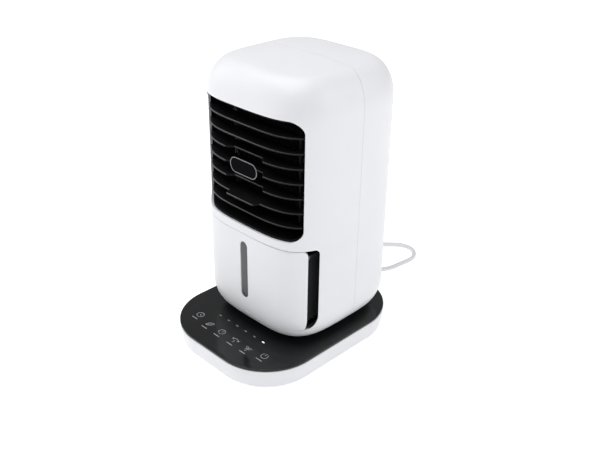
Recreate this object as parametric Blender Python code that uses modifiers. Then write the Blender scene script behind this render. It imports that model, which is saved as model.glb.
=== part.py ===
"""Desktop air cooler on a swing base, as an assembly of separate pieces.

Origin: centre of the base's footprint, on the surface it stands on.
+Z is up, -Y is the front with the louvres and the tank, +X is the right side.
"""

import math

import bmesh
import bpy
from mathutils import Matrix, Vector

MM = 0.001
GAP = 0.3 * MM  # left between pieces that touch
WALL = 2.5 * MM  # moulded shells

# Base
BASE_WIDTH = 183 * MM
BASE_DEPTH = 232 * MM
BASE_CORNER = 64 * MM
TRAY_BOTTOM = 1.2 * MM
TRAY_FLOOR = 3.2 * MM
TRAY_TOP = 23.9 * MM
TRAY_TAPER = 2.8 * MM
COVER_THICKNESS = 3 * MM
FOOT_RADIUS = 9 * MM
FOOT_X = 62 * MM
FOOT_Y = 74 * MM
SCREW_X = 76 * MM
SCREW_Y = 40 * MM

# Housing that swings on the base
BODY_Y = 23.5 * MM  # swing axis, behind the base's centre
BODY_HALF_X = 83.5 * MM
BODY_HALF_Y = 84 * MM
BODY_BOTTOM = 34 * MM
HEIGHT = 330 * MM
SQUIRCLE = 3.83  # exponent of the plan outline
TOP_ROUND = 25 * MM
TOP_ROUND_HEIGHT = 42 * MM
CROWN = 2.5 * MM
BOTTOM_ROUND = 14 * MM
BOTTOM_ROUND_HEIGHT = 30 * MM
SEAM_Y = BODY_Y + 7 * MM

# Swing drive
NECK_RADIUS = 44 * MM
NECK_HOLE_CLEARANCE = 1 * MM
NECK_BORE = 36 * MM
GEAR_MODULE = 1.5 * MM
RING_TEETH = 70
PINION_TEETH = 12
RING_TEETH_CUT = 17  # teeth on the sector that the pinion can reach
BACKLASH = 0.35 * MM
GEAR_THICKNESS = 5.2 * MM

# Air outlet and louvres
OUTLET_HALF_X = 72.8 * MM
OUTLET_LOW = 158.5 * MM
OUTLET_HIGH = 290 * MM
OUTLET_CORNER = 13.5 * MM
LOUVRE_COUNT = 7
LOUVRE_TOP = 272.1 * MM
LOUVRE_PITCH = 16.2 * MM
LOUVRE_THICKNESS = 2 * MM
LOUVRE_SET_BACK = 2 * MM  # behind the housing's face
PIVOT_Y = BODY_Y - 64 * MM
RECESS_DEPTH = 7 * MM
TAB_PROUD = 7 * MM
TAB_LOUVRE = 6
BADGE_LOUVRE = 4
BADGE_WIDTH = 41 * MM
BADGE_HEIGHT = 17.2 * MM
FRAME_WALL = 2 * MM
FRAME_SET_BACK = 2.5 * MM
FRAME_BACK = BODY_Y - 50 * MM
CRANK = 6 * MM
CRANK_PIN = 0.9 * MM
LINK_X = OUTLET_HALF_X - 11.8 * MM

# Tank
TANK_PANEL_HALF_X = 74.2 * MM
TANK_PANEL_LOW = 50.4 * MM
TANK_PANEL_HIGH = 148 * MM
TANK_OPENING_HALF_X = 80.4 * MM
TANK_OPENING_LOW = 49.6 * MM
TANK_OPENING_HIGH = 148.8 * MM
TANK_OPENING_CORNERS = ((7 * MM, 16 * MM), (1.8 * MM, 6 * MM))  # low and high, across and up
TANK_PANEL_CORNERS = ((3.6 * MM, 15.5 * MM), (3.5 * MM, 7 * MM))
BIN_HALF_X = 71.2 * MM
BIN_LOW = 51 * MM
BIN_HIGH = 140 * MM
BIN_BACK = BODY_Y + 8 * MM
BIN_WALL = 2 * MM
WINDOW_WIDTH = 11 * MM
WINDOW_LOW = 68 * MM
WINDOW_HIGH = 138.5 * MM

# Air path
DECK_LOW = 151 * MM
DECK_THICKNESS = 2 * MM
FAN_Z = 226 * MM
FAN_DUCT_RADIUS = 59.5 * MM
BLADE_CLEARANCE = 2 * MM
BLADE_RADIUS = FAN_DUCT_RADIUS - BLADE_CLEARANCE
BLADES = 7
HUB_RADIUS = 18 * MM
SHAFT_RADIUS = 1.5 * MM
PAD_HALF_X = 66 * MM
PAD_FRONT = BODY_Y - 32 * MM
PAD_BACK = BODY_Y - 9 * MM
PAD_TOP = 291 * MM
PAD_WALL = 3 * MM
INTAKE_HALF_X = 52 * MM
INTAKE_LOW = 165 * MM
INTAKE_HIGH = 285 * MM

# Cord
CORD_RADIUS = 2.8 * MM
CORD_EXIT_Z = 12 * MM
GLAND_SHANK = 4 * MM
GLAND_END = 142 * MM
COIL_CENTRE = (-73.4 * MM, 154.2 * MM)
COIL_MID_RADIUS = 31 * MM
COIL_TURNS_WIDE = 3
COIL_TURNS_HIGH = 2

COVER_BOTTOM = TRAY_TOP + GAP
COVER_TOP = COVER_BOTTOM + COVER_THICKNESS
DECK_TOP = DECK_LOW + DECK_THICKNESS


def clear_scene():
    for old in list(bpy.data.objects):
        bpy.data.objects.remove(old, do_unlink=True)


def new_collection(name):
    made = bpy.data.collections.new(name)
    bpy.context.scene.collection.children.link(made)
    return made


def make_material(name, colour, roughness, metallic=0.0, alpha=1.0):
    made = bpy.data.materials.new(name)
    made.use_nodes = True
    shader = made.node_tree.nodes["Principled BSDF"]
    shader.inputs["Base Color"].default_value = (*colour, 1.0)
    shader.inputs["Roughness"].default_value = roughness
    shader.inputs["Metallic"].default_value = metallic
    shader.inputs["Alpha"].default_value = alpha
    return made


clear_scene()
PARTS = new_collection("desktop_air_cooler")
CUTTERS = new_collection("cutters")
WHITE = make_material("white_shell", (0.82, 0.82, 0.85), 0.35)
GLOSS_BLACK = make_material("gloss_black", (0.01, 0.011, 0.012), 0.08)
BLACK = make_material("black_plastic", (0.012, 0.012, 0.013), 0.4)
SMOKE = make_material("smoked_plastic", (0.03, 0.03, 0.032), 0.1, alpha=0.6)
RUBBER = make_material("rubber", (0.02, 0.02, 0.02), 0.8)
STEEL = make_material("steel", (0.55, 0.55, 0.56), 0.3, metallic=1.0)
BOARD = make_material("circuit_board", (0.02, 0.12, 0.05), 0.5)
PAPER = make_material("pad_paper", (0.03, 0.03, 0.032), 0.9)
NYLON = make_material("nylon", (0.75, 0.74, 0.7), 0.5)
CORD_WHITE = make_material("cord_white", (0.85, 0.85, 0.86), 0.5)


# ---------------------------------------------------------------- tools


def add_part(name, mesh, material):
    """A visible piece of the object."""
    made = bpy.data.objects.new(name, mesh)
    made.data.materials.append(material)
    PARTS.objects.link(made)
    return made


def add_helper(name, mesh):
    """A cutter, or a shape that is fused to a piece."""
    made = bpy.data.objects.new(name, mesh)
    made.hide_render = True
    made.display_type = "WIRE"
    CUTTERS.objects.link(made)
    return made


def mesh_of(work, name):
    """A mesh from a closed bmesh, with its faces turned outwards."""
    bmesh.ops.recalc_face_normals(work, faces=work.faces[:])
    made = bpy.data.meshes.new(name)
    work.to_mesh(made)
    work.free()
    return made


def prism_mesh(name, outline, axis, low, high):
    """A flat outline carried along an axis. The outline's two numbers are the
    other two coordinates in X, Y, Z order."""
    work = bmesh.new()
    place = {
        "X": lambda u, v: (low, u, v),
        "Y": lambda u, v: (u, low, v),
        "Z": lambda u, v: (u, v, low),
    }[axis]
    along = {"X": Vector((1, 0, 0)), "Y": Vector((0, 1, 0)), "Z": Vector((0, 0, 1))}[axis]
    face = work.faces.new([work.verts.new(place(u, v)) for u, v in outline])
    grown = bmesh.ops.extrude_face_region(work, geom=[face])
    moved = [item for item in grown["geom"] if isinstance(item, bmesh.types.BMVert)]
    bmesh.ops.translate(work, vec=along * (high - low), verts=moved)
    return mesh_of(work, name)


def box_mesh(name, low, high):
    work = bmesh.new()
    bmesh.ops.create_cube(work, size=1.0)
    size = Vector(high) - Vector(low)
    middle = (Vector(high) + Vector(low)) / 2
    bmesh.ops.scale(work, vec=size, verts=work.verts[:])
    bmesh.ops.translate(work, vec=middle, verts=work.verts[:])
    return mesh_of(work, name)


def boxes_mesh(name, boxes):
    """Several separate boxes in one mesh, for a cutter."""
    work = bmesh.new()
    for low, high in boxes:
        size = Vector(high) - Vector(low)
        middle = (Vector(high) + Vector(low)) / 2
        placed = Matrix.Translation(middle) @ Matrix.Diagonal((*size, 1.0))
        bmesh.ops.create_cube(work, size=1.0, matrix=placed)
    return mesh_of(work, name)


def rod_mesh(name, radius, start, end, sides=24, end_radius=None):
    """A cylinder or cone from one point to another."""
    work = bmesh.new()
    start, end = Vector(start), Vector(end)
    turn = (end - start).to_track_quat("Z", "Y").to_matrix().to_4x4()
    bmesh.ops.create_cone(
        work,
        cap_ends=True,
        segments=sides,
        radius1=radius,
        radius2=radius if end_radius is None else end_radius,
        depth=(end - start).length,
        matrix=Matrix.Translation((start + end) / 2) @ turn,
    )
    return mesh_of(work, name)


def boolean(target, tool, operation):
    step = target.modifiers.new(f"{operation.lower()}_{tool.name}", "BOOLEAN")
    step.operation = operation
    step.object = tool
    step.solver = "EXACT"


def cut(target, *meshes):
    for mesh in meshes:
        boolean(target, add_helper(f"cut_{mesh.name}", mesh), "DIFFERENCE")


def fuse(target, *meshes):
    for mesh in meshes:
        boolean(target, add_helper(f"add_{mesh.name}", mesh), "UNION")


def trim(target, *meshes):
    """Keeps only what lies inside each mesh."""
    for mesh in meshes:
        boolean(target, add_helper(f"keep_{mesh.name}", mesh), "INTERSECT")


def put_origin(target, point):
    """Moves a piece's origin to a point without moving its shape."""
    target.data.transform(Matrix.Translation(-Vector(point)))
    target.location = point


def turned(name, profile, centre, along, material, steps=32):
    """A turned piece: profile points are (radius, height), down the outer side."""
    mesh = bpy.data.meshes.new(name)
    points = [(radius, 0.0, height) for radius, height in profile]
    mesh.from_pydata(points, [(i, i + 1) for i in range(len(points) - 1)], [])
    made = add_part(name, mesh, material)
    made.location = centre
    made.rotation_euler = Vector(along).to_track_quat("Z", "Y").to_euler()
    screw = made.modifiers.new("turn", "SCREW")
    screw.steps = steps
    screw.render_steps = steps
    screw.use_merge_vertices = True
    screw.merge_threshold = 0.00001
    return made


def rounded_box_outline(half_u, low_v, high_v, low, high, steps=4):
    """A rectangle about u = 0 with round corners, counter-clockwise. low and high are the corners' radii, or
    (across, up) pairs where the corners are quarter ellipses."""
    low_u, low_up = low if isinstance(low, tuple) else (low, low)
    high_u, high_up = high if isinstance(high, tuple) else (high, high)
    corners = (
        (half_u - low_u, low_v + low_up, low_u, low_up, -90),
        (half_u - high_u, high_v - high_up, high_u, high_up, 0),
        (-half_u + high_u, high_v - high_up, high_u, high_up, 90),
        (-half_u + low_u, low_v + low_up, low_u, low_up, 180),
    )
    points = []
    for centre_u, centre_v, radius_u, radius_v, start in corners:
        for step in range(steps + 1):
            angle = math.radians(start + 90 * step / steps)
            points.append((centre_u + radius_u * math.cos(angle), centre_v + radius_v * math.sin(angle)))
    return points


def base_outline(inset, steps=7):
    return rounded_box_outline(
        BASE_WIDTH / 2 - inset,
        -BASE_DEPTH / 2 + inset,
        BASE_DEPTH / 2 - inset,
        BASE_CORNER - inset,
        BASE_CORNER - inset,
        steps,
    )


def squircle(inset, sides=40):
    """The housing's plan outline, moved inwards by inset."""
    half_x = BODY_HALF_X - inset
    half_y = BODY_HALF_Y - inset
    points = []
    for step in range(sides):
        angle = 2 * math.pi * step / sides
        across, along = math.cos(angle), math.sin(angle)
        x = half_x * math.copysign(abs(across) ** (2 / SQUIRCLE), across)
        y = half_y * math.copysign(abs(along) ** (2 / SQUIRCLE), along)
        points.append((x, BODY_Y + y))
    return points


def front_y(x, inset):
    """How far forward the housing's side wall is at x."""
    share = 1 - abs(x / (BODY_HALF_X - inset)) ** SQUIRCLE
    return BODY_Y - (BODY_HALF_Y - inset) * share ** (1 / SQUIRCLE)


def loft_mesh(name, levels):
    """Outlines at rising heights, joined by walls and closed at both ends.
    levels is a list of (outline, height)."""
    work = bmesh.new()
    rings = [[work.verts.new((x, y, height)) for x, y in outline] for outline, height in levels]
    for lower, upper in zip(rings, rings[1:]):
        count = len(lower)
        for i in range(count):
            j = (i + 1) % count
            work.faces.new((lower[i], lower[j], upper[j], upper[i]))
    work.faces.new(rings[0][::-1])
    work.faces.new(rings[-1])
    return mesh_of(work, name)


def body_mesh(name, inset):
    """The housing's outer form, moved inwards by inset all round."""
    levels = []
    low_steps = 4
    for step in range(low_steps + 1):
        angle = math.pi / 2 * step / low_steps
        round_in = BOTTOM_ROUND * (1 - math.sin(angle))
        rise = BOTTOM_ROUND_HEIGHT * (1 - math.cos(angle))
        height = max(BODY_BOTTOM + rise, BODY_BOTTOM + inset)
        if step == 0 or height > levels[-1][1] + 0.5 * MM:
            levels.append((squircle(inset + round_in), height))
    fillet_top = HEIGHT - CROWN - inset
    fillet_low = fillet_top - TOP_ROUND_HEIGHT
    top_steps = 6
    for step in range(top_steps + 1):
        angle = math.pi / 2 * step / top_steps
        round_in = TOP_ROUND * (1 - math.cos(angle))
        levels.append((squircle(inset + round_in), fillet_low + TOP_ROUND_HEIGHT * math.sin(angle)))
    reach = min(BODY_HALF_X, BODY_HALF_Y) - TOP_ROUND - inset
    for share in (0.45, 0.95):
        round_in = TOP_ROUND + reach * share
        height = fillet_top + CROWN * (1 - (1 - share) ** 2)
        levels.append((squircle(inset + round_in), height))
    return loft_mesh(name, levels)


# ---------------------------------------------------------------- base


def tray_levels(inset, low, floor_round):
    """The tray's sides draw in towards the bottom, with a rounded lower edge."""
    levels = []
    if floor_round:
        levels.append((base_outline(inset + TRAY_TAPER + 4 * MM), low))
    for step in range(5):
        share = step / 4
        height = low + 1.5 * MM * floor_round + share * (TRAY_TOP - low - 1.5 * MM * floor_round)
        taper = TRAY_TAPER * (1 - share) ** 1.6
        levels.append((base_outline(inset + taper), height))
    return levels


def base_tray():
    tray = add_part("base_tray", loft_mesh("base_tray", tray_levels(0, TRAY_BOTTOM, 1)), WHITE)
    floor_top = TRAY_BOTTOM + TRAY_FLOOR
    hollow = tray_levels(WALL, floor_top, 0)
    hollow.append((base_outline(WALL), TRAY_TOP + 5 * MM))
    cut(tray, loft_mesh("tray_hollow", hollow))
    for x in (-FOOT_X, FOOT_X):
        for y in (-FOOT_Y, FOOT_Y):
            pocket = rod_mesh("foot_pocket", FOOT_RADIUS + GAP, (x, y, 0), (x, y, TRAY_BOTTOM + 1.5 * MM))
            cut(tray, pocket)
    for x in (-SCREW_X, SCREW_X):
        for y in (-SCREW_Y, SCREW_Y):
            bore = rod_mesh("screw_bore", 1.8 * MM, (x, y, 0), (x, y, 10 * MM), 12)
            sink = rod_mesh("screw_sink", 3.4 * MM, (x, y, 0), (x, y, TRAY_BOTTOM + 1.8 * MM), 16)
            cut(tray, bore, sink)
    gland_hole = rod_mesh(
        "gland_hole",
        GLAND_SHANK + GAP,
        (0, BASE_DEPTH / 2 - 12 * MM, CORD_EXIT_Z),
        (0, BASE_DEPTH / 2 + 5 * MM, CORD_EXIT_Z),
    )
    cut(tray, gland_hole)


def base_cover():
    edge = 0.7 * MM
    levels = [
        (base_outline(edge), COVER_BOTTOM),
        (base_outline(0), COVER_BOTTOM + edge),
        (base_outline(0), COVER_TOP - edge),
        (base_outline(edge), COVER_TOP),
    ]
    cover = add_part("base_cover", loft_mesh("base_cover", levels), GLOSS_BLACK)
    neck_hole = NECK_RADIUS + NECK_HOLE_CLEARANCE
    middle = (0, BODY_Y, 0)
    cut(cover, rod_mesh("neck_hole", neck_hole, middle, (0, BODY_Y, 60 * MM), 48))
    boss_low = TRAY_BOTTOM + TRAY_FLOOR + GAP
    for x in (-SCREW_X, SCREW_X):
        for y in (-SCREW_Y, SCREW_Y):
            fuse(cover, rod_mesh("boss", 4.5 * MM, (x, y, boss_low), (x, y, COVER_BOTTOM + 1 * MM), 16))
            cut(cover, rod_mesh("boss_bore", 1.8 * MM, (x, y, 0), (x, y, COVER_BOTTOM - 3 * MM), 12))


def base_fittings():
    for side, x in (("left", -FOOT_X), ("right", FOOT_X)):
        for end, y in (("front", -FOOT_Y), ("rear", FOOT_Y)):
            top = TRAY_BOTTOM + 1.5 * MM - GAP
            foot = rod_mesh(f"foot_{end}_{side}", FOOT_RADIUS, (x, y, 0), (x, y, top))
            add_part(f"foot_{end}_{side}", foot, RUBBER)
    number = 0
    for x in (-SCREW_X, SCREW_X):
        for y in (-SCREW_Y, SCREW_Y):
            number += 1
            head_top = TRAY_BOTTOM + 1.8 * MM - GAP
            screw_tip = COVER_BOTTOM - 4 * MM
            profile = [
                (0, screw_tip),
                (1.5 * MM, screw_tip - 1 * MM),
                (1.5 * MM, head_top),
                (3.1 * MM, head_top),
                (3.1 * MM, TRAY_BOTTOM + GAP),
                (0, TRAY_BOTTOM + GAP),
            ]
            turned(f"base_screw_{number}", profile, (x, y, 0), (0, 0, 1), STEEL, steps=12)
    board = rounded_box_outline(60 * MM, -97 * MM, -64 * MM, 4 * MM, 4 * MM, 2)
    board_top = COVER_BOTTOM - GAP
    add_part("touch_board", prism_mesh("touch_board", board, "Z", board_top - 1.6 * MM, board_top), BOARD)
    floor_top = TRAY_BOTTOM + TRAY_FLOOR + GAP
    power = add_part(
        "power_board",
        box_mesh("power_board", (-34 * MM, 82 * MM, floor_top), (34 * MM, 105 * MM, floor_top + 1.6 * MM)),
        BOARD,
    )
    seat = floor_top + 1 * MM
    fuse(
        power,
        box_mesh("transformer", (-30 * MM, 86 * MM, seat), (-10 * MM, 102 * MM, 19 * MM)),
        rod_mesh("capacitor", 5 * MM, (2 * MM, 93 * MM, seat), (2 * MM, 93 * MM, 18 * MM), 16),
    )


# ---------------------------------------------------------------- swing drive


def tooth_flank(teeth, radius, thinned):
    """Half of a tooth's angle at a radius, on an involute flank of 20 degrees."""
    pitch = GEAR_MODULE * teeth / 2
    base = pitch * math.cos(math.radians(20))
    involute = math.tan(math.radians(20)) - math.radians(20)
    half = math.pi / (2 * teeth) - thinned / (2 * pitch) + involute
    if radius <= base:
        return half - 0.6 * (base - radius) / pitch
    lean = math.acos(base / radius)
    return half - (math.tan(lean) - lean)


def gear_outline(teeth, first_angle, count, addendum, dedendum):
    """Points round a gear that has its first tooth centred on first_angle."""
    pitch = GEAR_MODULE * teeth / 2
    root, tip = pitch - dedendum, pitch + addendum
    step = 2 * math.pi / teeth
    radii = [root, (root + pitch) / 2, pitch, (pitch + tip) / 2, tip]
    points = []
    for tooth in range(count):
        middle = first_angle + tooth * step
        rising = [(radius, middle - tooth_flank(teeth, radius, BACKLASH)) for radius in radii]
        falling = [(radius, middle + tooth_flank(teeth, radius, BACKLASH)) for radius in radii[::-1]]
        points += rising + falling
    plain = (teeth - count) * step
    if plain > step:
        last = points[-1][1]
        arc_steps = 28
        for i in range(1, arc_steps):
            points.append((root, last + (first_angle + 2 * math.pi - step * 0.3 - last) * i / arc_steps))
    return [(radius * math.cos(angle), radius * math.sin(angle)) for radius, angle in points]


def swing_drive():
    gear_top = COVER_BOTTOM - 0.8 * MM
    gear_low = gear_top - GEAR_THICKNESS
    step = 2 * math.pi / RING_TEETH
    first = -math.pi / 2 - (RING_TEETH_CUT - 1) / 2 * step
    outline = gear_outline(RING_TEETH, first, RING_TEETH_CUT, 0.75 * GEAR_MODULE, 1.3 * GEAR_MODULE)
    placed = [(x, BODY_Y + y) for x, y in outline]
    ring = add_part("sector_gear", prism_mesh("sector_gear", placed, "Z", gear_low, gear_top), NYLON)
    cut(ring, rod_mesh("gear_bore", NECK_BORE, (0, BODY_Y, 0), (0, BODY_Y, 40 * MM), 32))
    put_origin(ring, (0, BODY_Y, 0))

    distance = GEAR_MODULE * (RING_TEETH + PINION_TEETH) / 2
    axis_y = BODY_Y - distance
    turn = math.pi / 2 + math.pi / PINION_TEETH
    outline = gear_outline(PINION_TEETH, turn, PINION_TEETH, 0.9 * GEAR_MODULE, 1.25 * GEAR_MODULE)
    placed = [(x, axis_y + y) for x, y in outline]
    wheel = prism_mesh("swing_pinion", placed, "Z", gear_low - 0.5 * MM, gear_top)
    pinion = add_part("swing_pinion", wheel, NYLON)
    fuse(pinion, rod_mesh("pinion_shaft", 1.6 * MM, (0, axis_y, 8 * MM), (0, axis_y, gear_top - 1 * MM), 16))
    put_origin(pinion, (0, axis_y, 0))

    floor_top = TRAY_BOTTOM + TRAY_FLOOR + GAP
    motor_top = gear_low - 0.8 * MM
    motor = rod_mesh("swing_motor", 16 * MM, (0, axis_y, floor_top), (0, axis_y, motor_top), 32)
    motor = add_part("swing_motor", motor, STEEL)
    lug_low = (-23 * MM, axis_y - 4 * MM, floor_top)
    lug_high = (23 * MM, axis_y + 4 * MM, floor_top + 2 * MM)
    fuse(motor, box_mesh("motor_lugs", lug_low, lug_high))
    cut(motor, rod_mesh("motor_bore", 1.9 * MM, (0, axis_y, 7 * MM), (0, axis_y, 30 * MM), 16))

    race_low, race_top = COVER_TOP + GAP, BODY_BOTTOM - GAP - 2 * MM - GAP
    inner, outer = 50 * MM, 58 * MM
    profile = [(inner, race_top), (outer, race_top), (outer, race_low), (inner, race_low), (inner, race_top)]
    turned("swing_bearing", profile, (0, BODY_Y, 0), (0, 0, 1), NYLON, steps=32)

    disc_top = BODY_BOTTOM - GAP
    disc_low = disc_top - 1.9 * MM
    neck_low = gear_top + GAP
    profile = [
        (NECK_BORE, disc_top),
        (62 * MM, disc_top),
        (62 * MM, disc_low),
        (NECK_RADIUS, disc_low),
        (NECK_RADIUS, neck_low),
        (NECK_BORE, neck_low),
        (NECK_BORE, disc_top),
    ]
    turned("turntable", profile, (0, BODY_Y, 0), (0, 0, 1), BLACK, steps=32)


# ---------------------------------------------------------------- housing


def half_box(name, front):
    far = 200 * MM
    if front:
        return box_mesh(name, (-far, SEAM_Y - far, -far), (far, SEAM_Y, 2 * far))
    return box_mesh(name, (-far, SEAM_Y + GAP, -far), (far, SEAM_Y + far, 2 * far))


def tank_opening_outline():
    return rounded_box_outline(TANK_OPENING_HALF_X, TANK_OPENING_LOW, TANK_OPENING_HIGH, *TANK_OPENING_CORNERS)


def outlet_outline(inset):
    corner = OUTLET_CORNER - inset
    return rounded_box_outline(OUTLET_HALF_X - inset, OUTLET_LOW + inset, OUTLET_HIGH - inset, corner, corner)


def shells():
    floor_hole = rod_mesh("floor_hole", 34 * MM, (0, BODY_Y, 0), (0, BODY_Y, 50 * MM), 32)
    before = BODY_Y - 120 * MM
    behind = BODY_Y - 30 * MM

    front = add_part("front_shell", body_mesh("front_shell", 0), WHITE)
    cut(front, body_mesh("hollow_front", WALL))
    trim(front, half_box("front_half", True))
    cut(front, floor_hole)
    cut(front, prism_mesh("outlet", outlet_outline(0), "Y", before, behind))
    cut(front, prism_mesh("tank_opening", tank_opening_outline(), "Y", before, behind))

    rear = add_part("rear_shell", body_mesh("rear_shell", 0), WHITE)
    cut(rear, body_mesh("hollow_rear", WALL))
    trim(rear, half_box("rear_half", False))
    cut(rear, floor_hole.copy())
    outline = rounded_box_outline(INTAKE_HALF_X, INTAKE_LOW, INTAKE_HIGH, 8 * MM, 8 * MM, 4)
    cut(rear, prism_mesh("intake", outline, "Y", BODY_Y + 40 * MM, BODY_Y + 120 * MM))

    deck_outline = squircle(WALL + GAP)
    deck = add_part("bay_deck", prism_mesh("bay_deck", deck_outline, "Z", DECK_LOW, DECK_TOP), BLACK)
    hose_x, hose_y = 63.5 * MM, BODY_Y + 45.3 * MM
    hole_low, hole_high = (hose_x, hose_y, DECK_LOW - 9 * MM), (hose_x, hose_y, DECK_TOP + 9 * MM)
    cut(deck, rod_mesh("hose_hole", 5 * MM, hole_low, hole_high, 16))


def rear_intake():
    outline = rounded_box_outline(
        INTAKE_HALF_X - GAP, INTAKE_LOW + GAP, INTAKE_HIGH - GAP, 8 * MM - GAP, 8 * MM - GAP, 4
    )
    grille = add_part("rear_grille", body_mesh("rear_grille", 0.2 * MM), WHITE)
    cut(grille, body_mesh("hollow_grille", WALL))
    trim(grille, prism_mesh("intake_plug", outline, "Y", BODY_Y + 40 * MM, BODY_Y + 120 * MM))
    slots = []
    rows = 12
    pitch = (INTAKE_HIGH - INTAKE_LOW - 12 * MM) / rows
    for row in range(rows):
        middle = INTAKE_LOW + 6 * MM + (row + 0.5) * pitch
        for side in (-1, 1):
            low_x, high_x = sorted((side * 3 * MM, side * 45 * MM))
            low = (low_x, BODY_Y + 50 * MM, middle - 2.6 * MM)
            high = (high_x, BODY_Y + 110 * MM, middle + 2.6 * MM)
            slots.append((low, high))
    cut(grille, boxes_mesh("intake_slots", slots))
    filter_low = (-49 * MM, BODY_Y + 75.4 * MM, INTAKE_LOW + 2 * MM)
    filter_high = (49 * MM, BODY_Y + 77.4 * MM, INTAKE_HIGH - 2 * MM)
    add_part("dust_filter", box_mesh("dust_filter", filter_low, filter_high), BLACK)


def grille_frame():
    """A black surround inside the outlet, with pivot holes for the louvres."""
    inset = GAP
    front_limit = BODY_Y - 120 * MM
    frame = add_part(
        "grille_frame", prism_mesh("grille_frame", outlet_outline(inset), "Y", front_limit, FRAME_BACK), BLACK
    )
    flange = rounded_box_outline(75.2 * MM, 154.5 * MM, 293.5 * MM, 8 * MM, 8 * MM, 3)
    fuse(frame, prism_mesh("frame_flange", flange, "Y", FRAME_BACK - 2 * MM, FRAME_BACK))
    trim(frame, body_mesh("frame_face", FRAME_SET_BACK))
    inner = outlet_outline(inset + FRAME_WALL)
    cut(frame, prism_mesh("frame_throat", inner, "Y", front_limit - 5 * MM, FRAME_BACK + 5 * MM))
    for number in range(1, LOUVRE_COUNT + 1):
        z = louvre_z(number)
        for side in (-1, 1):
            start = (side * (OUTLET_HALF_X - inset - FRAME_WALL - 3 * MM), PIVOT_Y, z)
            end = (side * (OUTLET_HALF_X + 3 * MM), PIVOT_Y, z)
            cut(frame, rod_mesh("pivot_hole", 1.5 * MM, start, end, 10))


def louvre_z(number):
    return LOUVRE_TOP - (number - 1) * LOUVRE_PITCH


def louvre_outline(number, half_length):
    """Plan outline of a louvre: a curved front edge and a straight back."""
    edge = {}
    steps = 16
    for step in range(steps + 1):
        x = -half_length + 2 * half_length * step / steps
        edge[x] = front_y(x, LOUVRE_SET_BACK)
    face = front_y(0, LOUVRE_SET_BACK)
    if number in (BADGE_LOUVRE - 1, BADGE_LOUVRE, BADGE_LOUVRE + 1):
        wide, narrow, level = 29 * MM, 21.5 * MM, face + RECESS_DEPTH
    elif number == TAB_LOUVRE:
        wide, narrow, level = 24 * MM, 20 * MM, face - TAB_PROUD
    else:
        wide = None
    points = sorted(edge.items())
    if wide:
        left = [p for p in points if p[0] < -wide - 1 * MM]
        right = [p for p in points if p[0] > wide + 1 * MM]
        shoulder = front_y(wide, LOUVRE_SET_BACK)
        middle = [(-wide, shoulder), (-narrow, level)]
        if number == BADGE_LOUVRE:
            tongue, reach = 8 * MM, front_y(0, 2.5 * MM) + GAP
            middle += [(-tongue, level), (-tongue, reach), (tongue, reach), (tongue, level)]
        middle += [(narrow, level), (wide, shoulder)]
        points = left + middle + right
    back = PIVOT_Y + 2.5 * MM
    return points + [(half_length, back), (-half_length, back)]


def louvres():
    half_length = OUTLET_HALF_X - GAP - FRAME_WALL - 0.4 * MM
    half_thick = LOUVRE_THICKNESS / 2
    for number in range(1, LOUVRE_COUNT + 1):
        z = louvre_z(number)
        name = f"louvre_{number}"
        outline = louvre_outline(number, half_length)
        slat = add_part(name, prism_mesh(name, outline, "Z", z - half_thick, z + half_thick), BLACK)
        for side in (-1, 1):
            inside = side * (half_length - 2 * MM)
            outside = side * (OUTLET_HALF_X - GAP - 0.4 * MM)
            fuse(slat, rod_mesh("pivot_pin", 1.2 * MM, (inside, PIVOT_Y, z), (outside, PIVOT_Y, z), 10))
        ear_low = (LINK_X - 4 * MM, PIVOT_Y + 1 * MM, z - half_thick)
        ear_high = (LINK_X - 1.7 * MM, PIVOT_Y + CRANK + 1.6 * MM, z + half_thick)
        fuse(slat, box_mesh("crank_ear", ear_low, ear_high))
        pin_start = (LINK_X - 3 * MM, PIVOT_Y + CRANK, z)
        fuse(slat, rod_mesh("crank_pin", CRANK_PIN, pin_start, (LINK_X + 2 * MM, PIVOT_Y + CRANK, z), 10))
        put_origin(slat, (0, PIVOT_Y, z))

    low_z, high_z = louvre_z(LOUVRE_COUNT) - 4 * MM, louvre_z(1) + 4 * MM
    middle_y = PIVOT_Y + CRANK
    link = add_part(
        "louvre_link",
        box_mesh(
            "louvre_link",
            (LINK_X - 1.4 * MM, middle_y - 2.4 * MM, low_z),
            (LINK_X + 1.4 * MM, middle_y + 2.4 * MM, high_z),
        ),
        BLACK,
    )
    for number in range(1, LOUVRE_COUNT + 1):
        z = louvre_z(number)
        start, end = (LINK_X - 6 * MM, middle_y, z), (LINK_X + 6 * MM, middle_y, z)
        cut(link, rod_mesh("link_hole", CRANK_PIN + GAP, start, end, 10))
    put_origin(link, (0, middle_y, louvre_z(TAB_LOUVRE)))

    z = louvre_z(BADGE_LOUVRE) + 1 * MM
    round_end = BADGE_HEIGHT / 2
    corner = round_end * 0.8
    outline = rounded_box_outline(BADGE_WIDTH / 2, z - round_end, z + round_end, corner, corner)
    plate = prism_mesh("badge_plate", outline, "Y", front_y(0, LOUVRE_SET_BACK), front_y(0, 2.5 * MM))
    badge = add_part("badge_plate", plate, GLOSS_BLACK)
    put_origin(badge, (0, PIVOT_Y, louvre_z(BADGE_LOUVRE)))


# ---------------------------------------------------------------- fan and water


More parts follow.
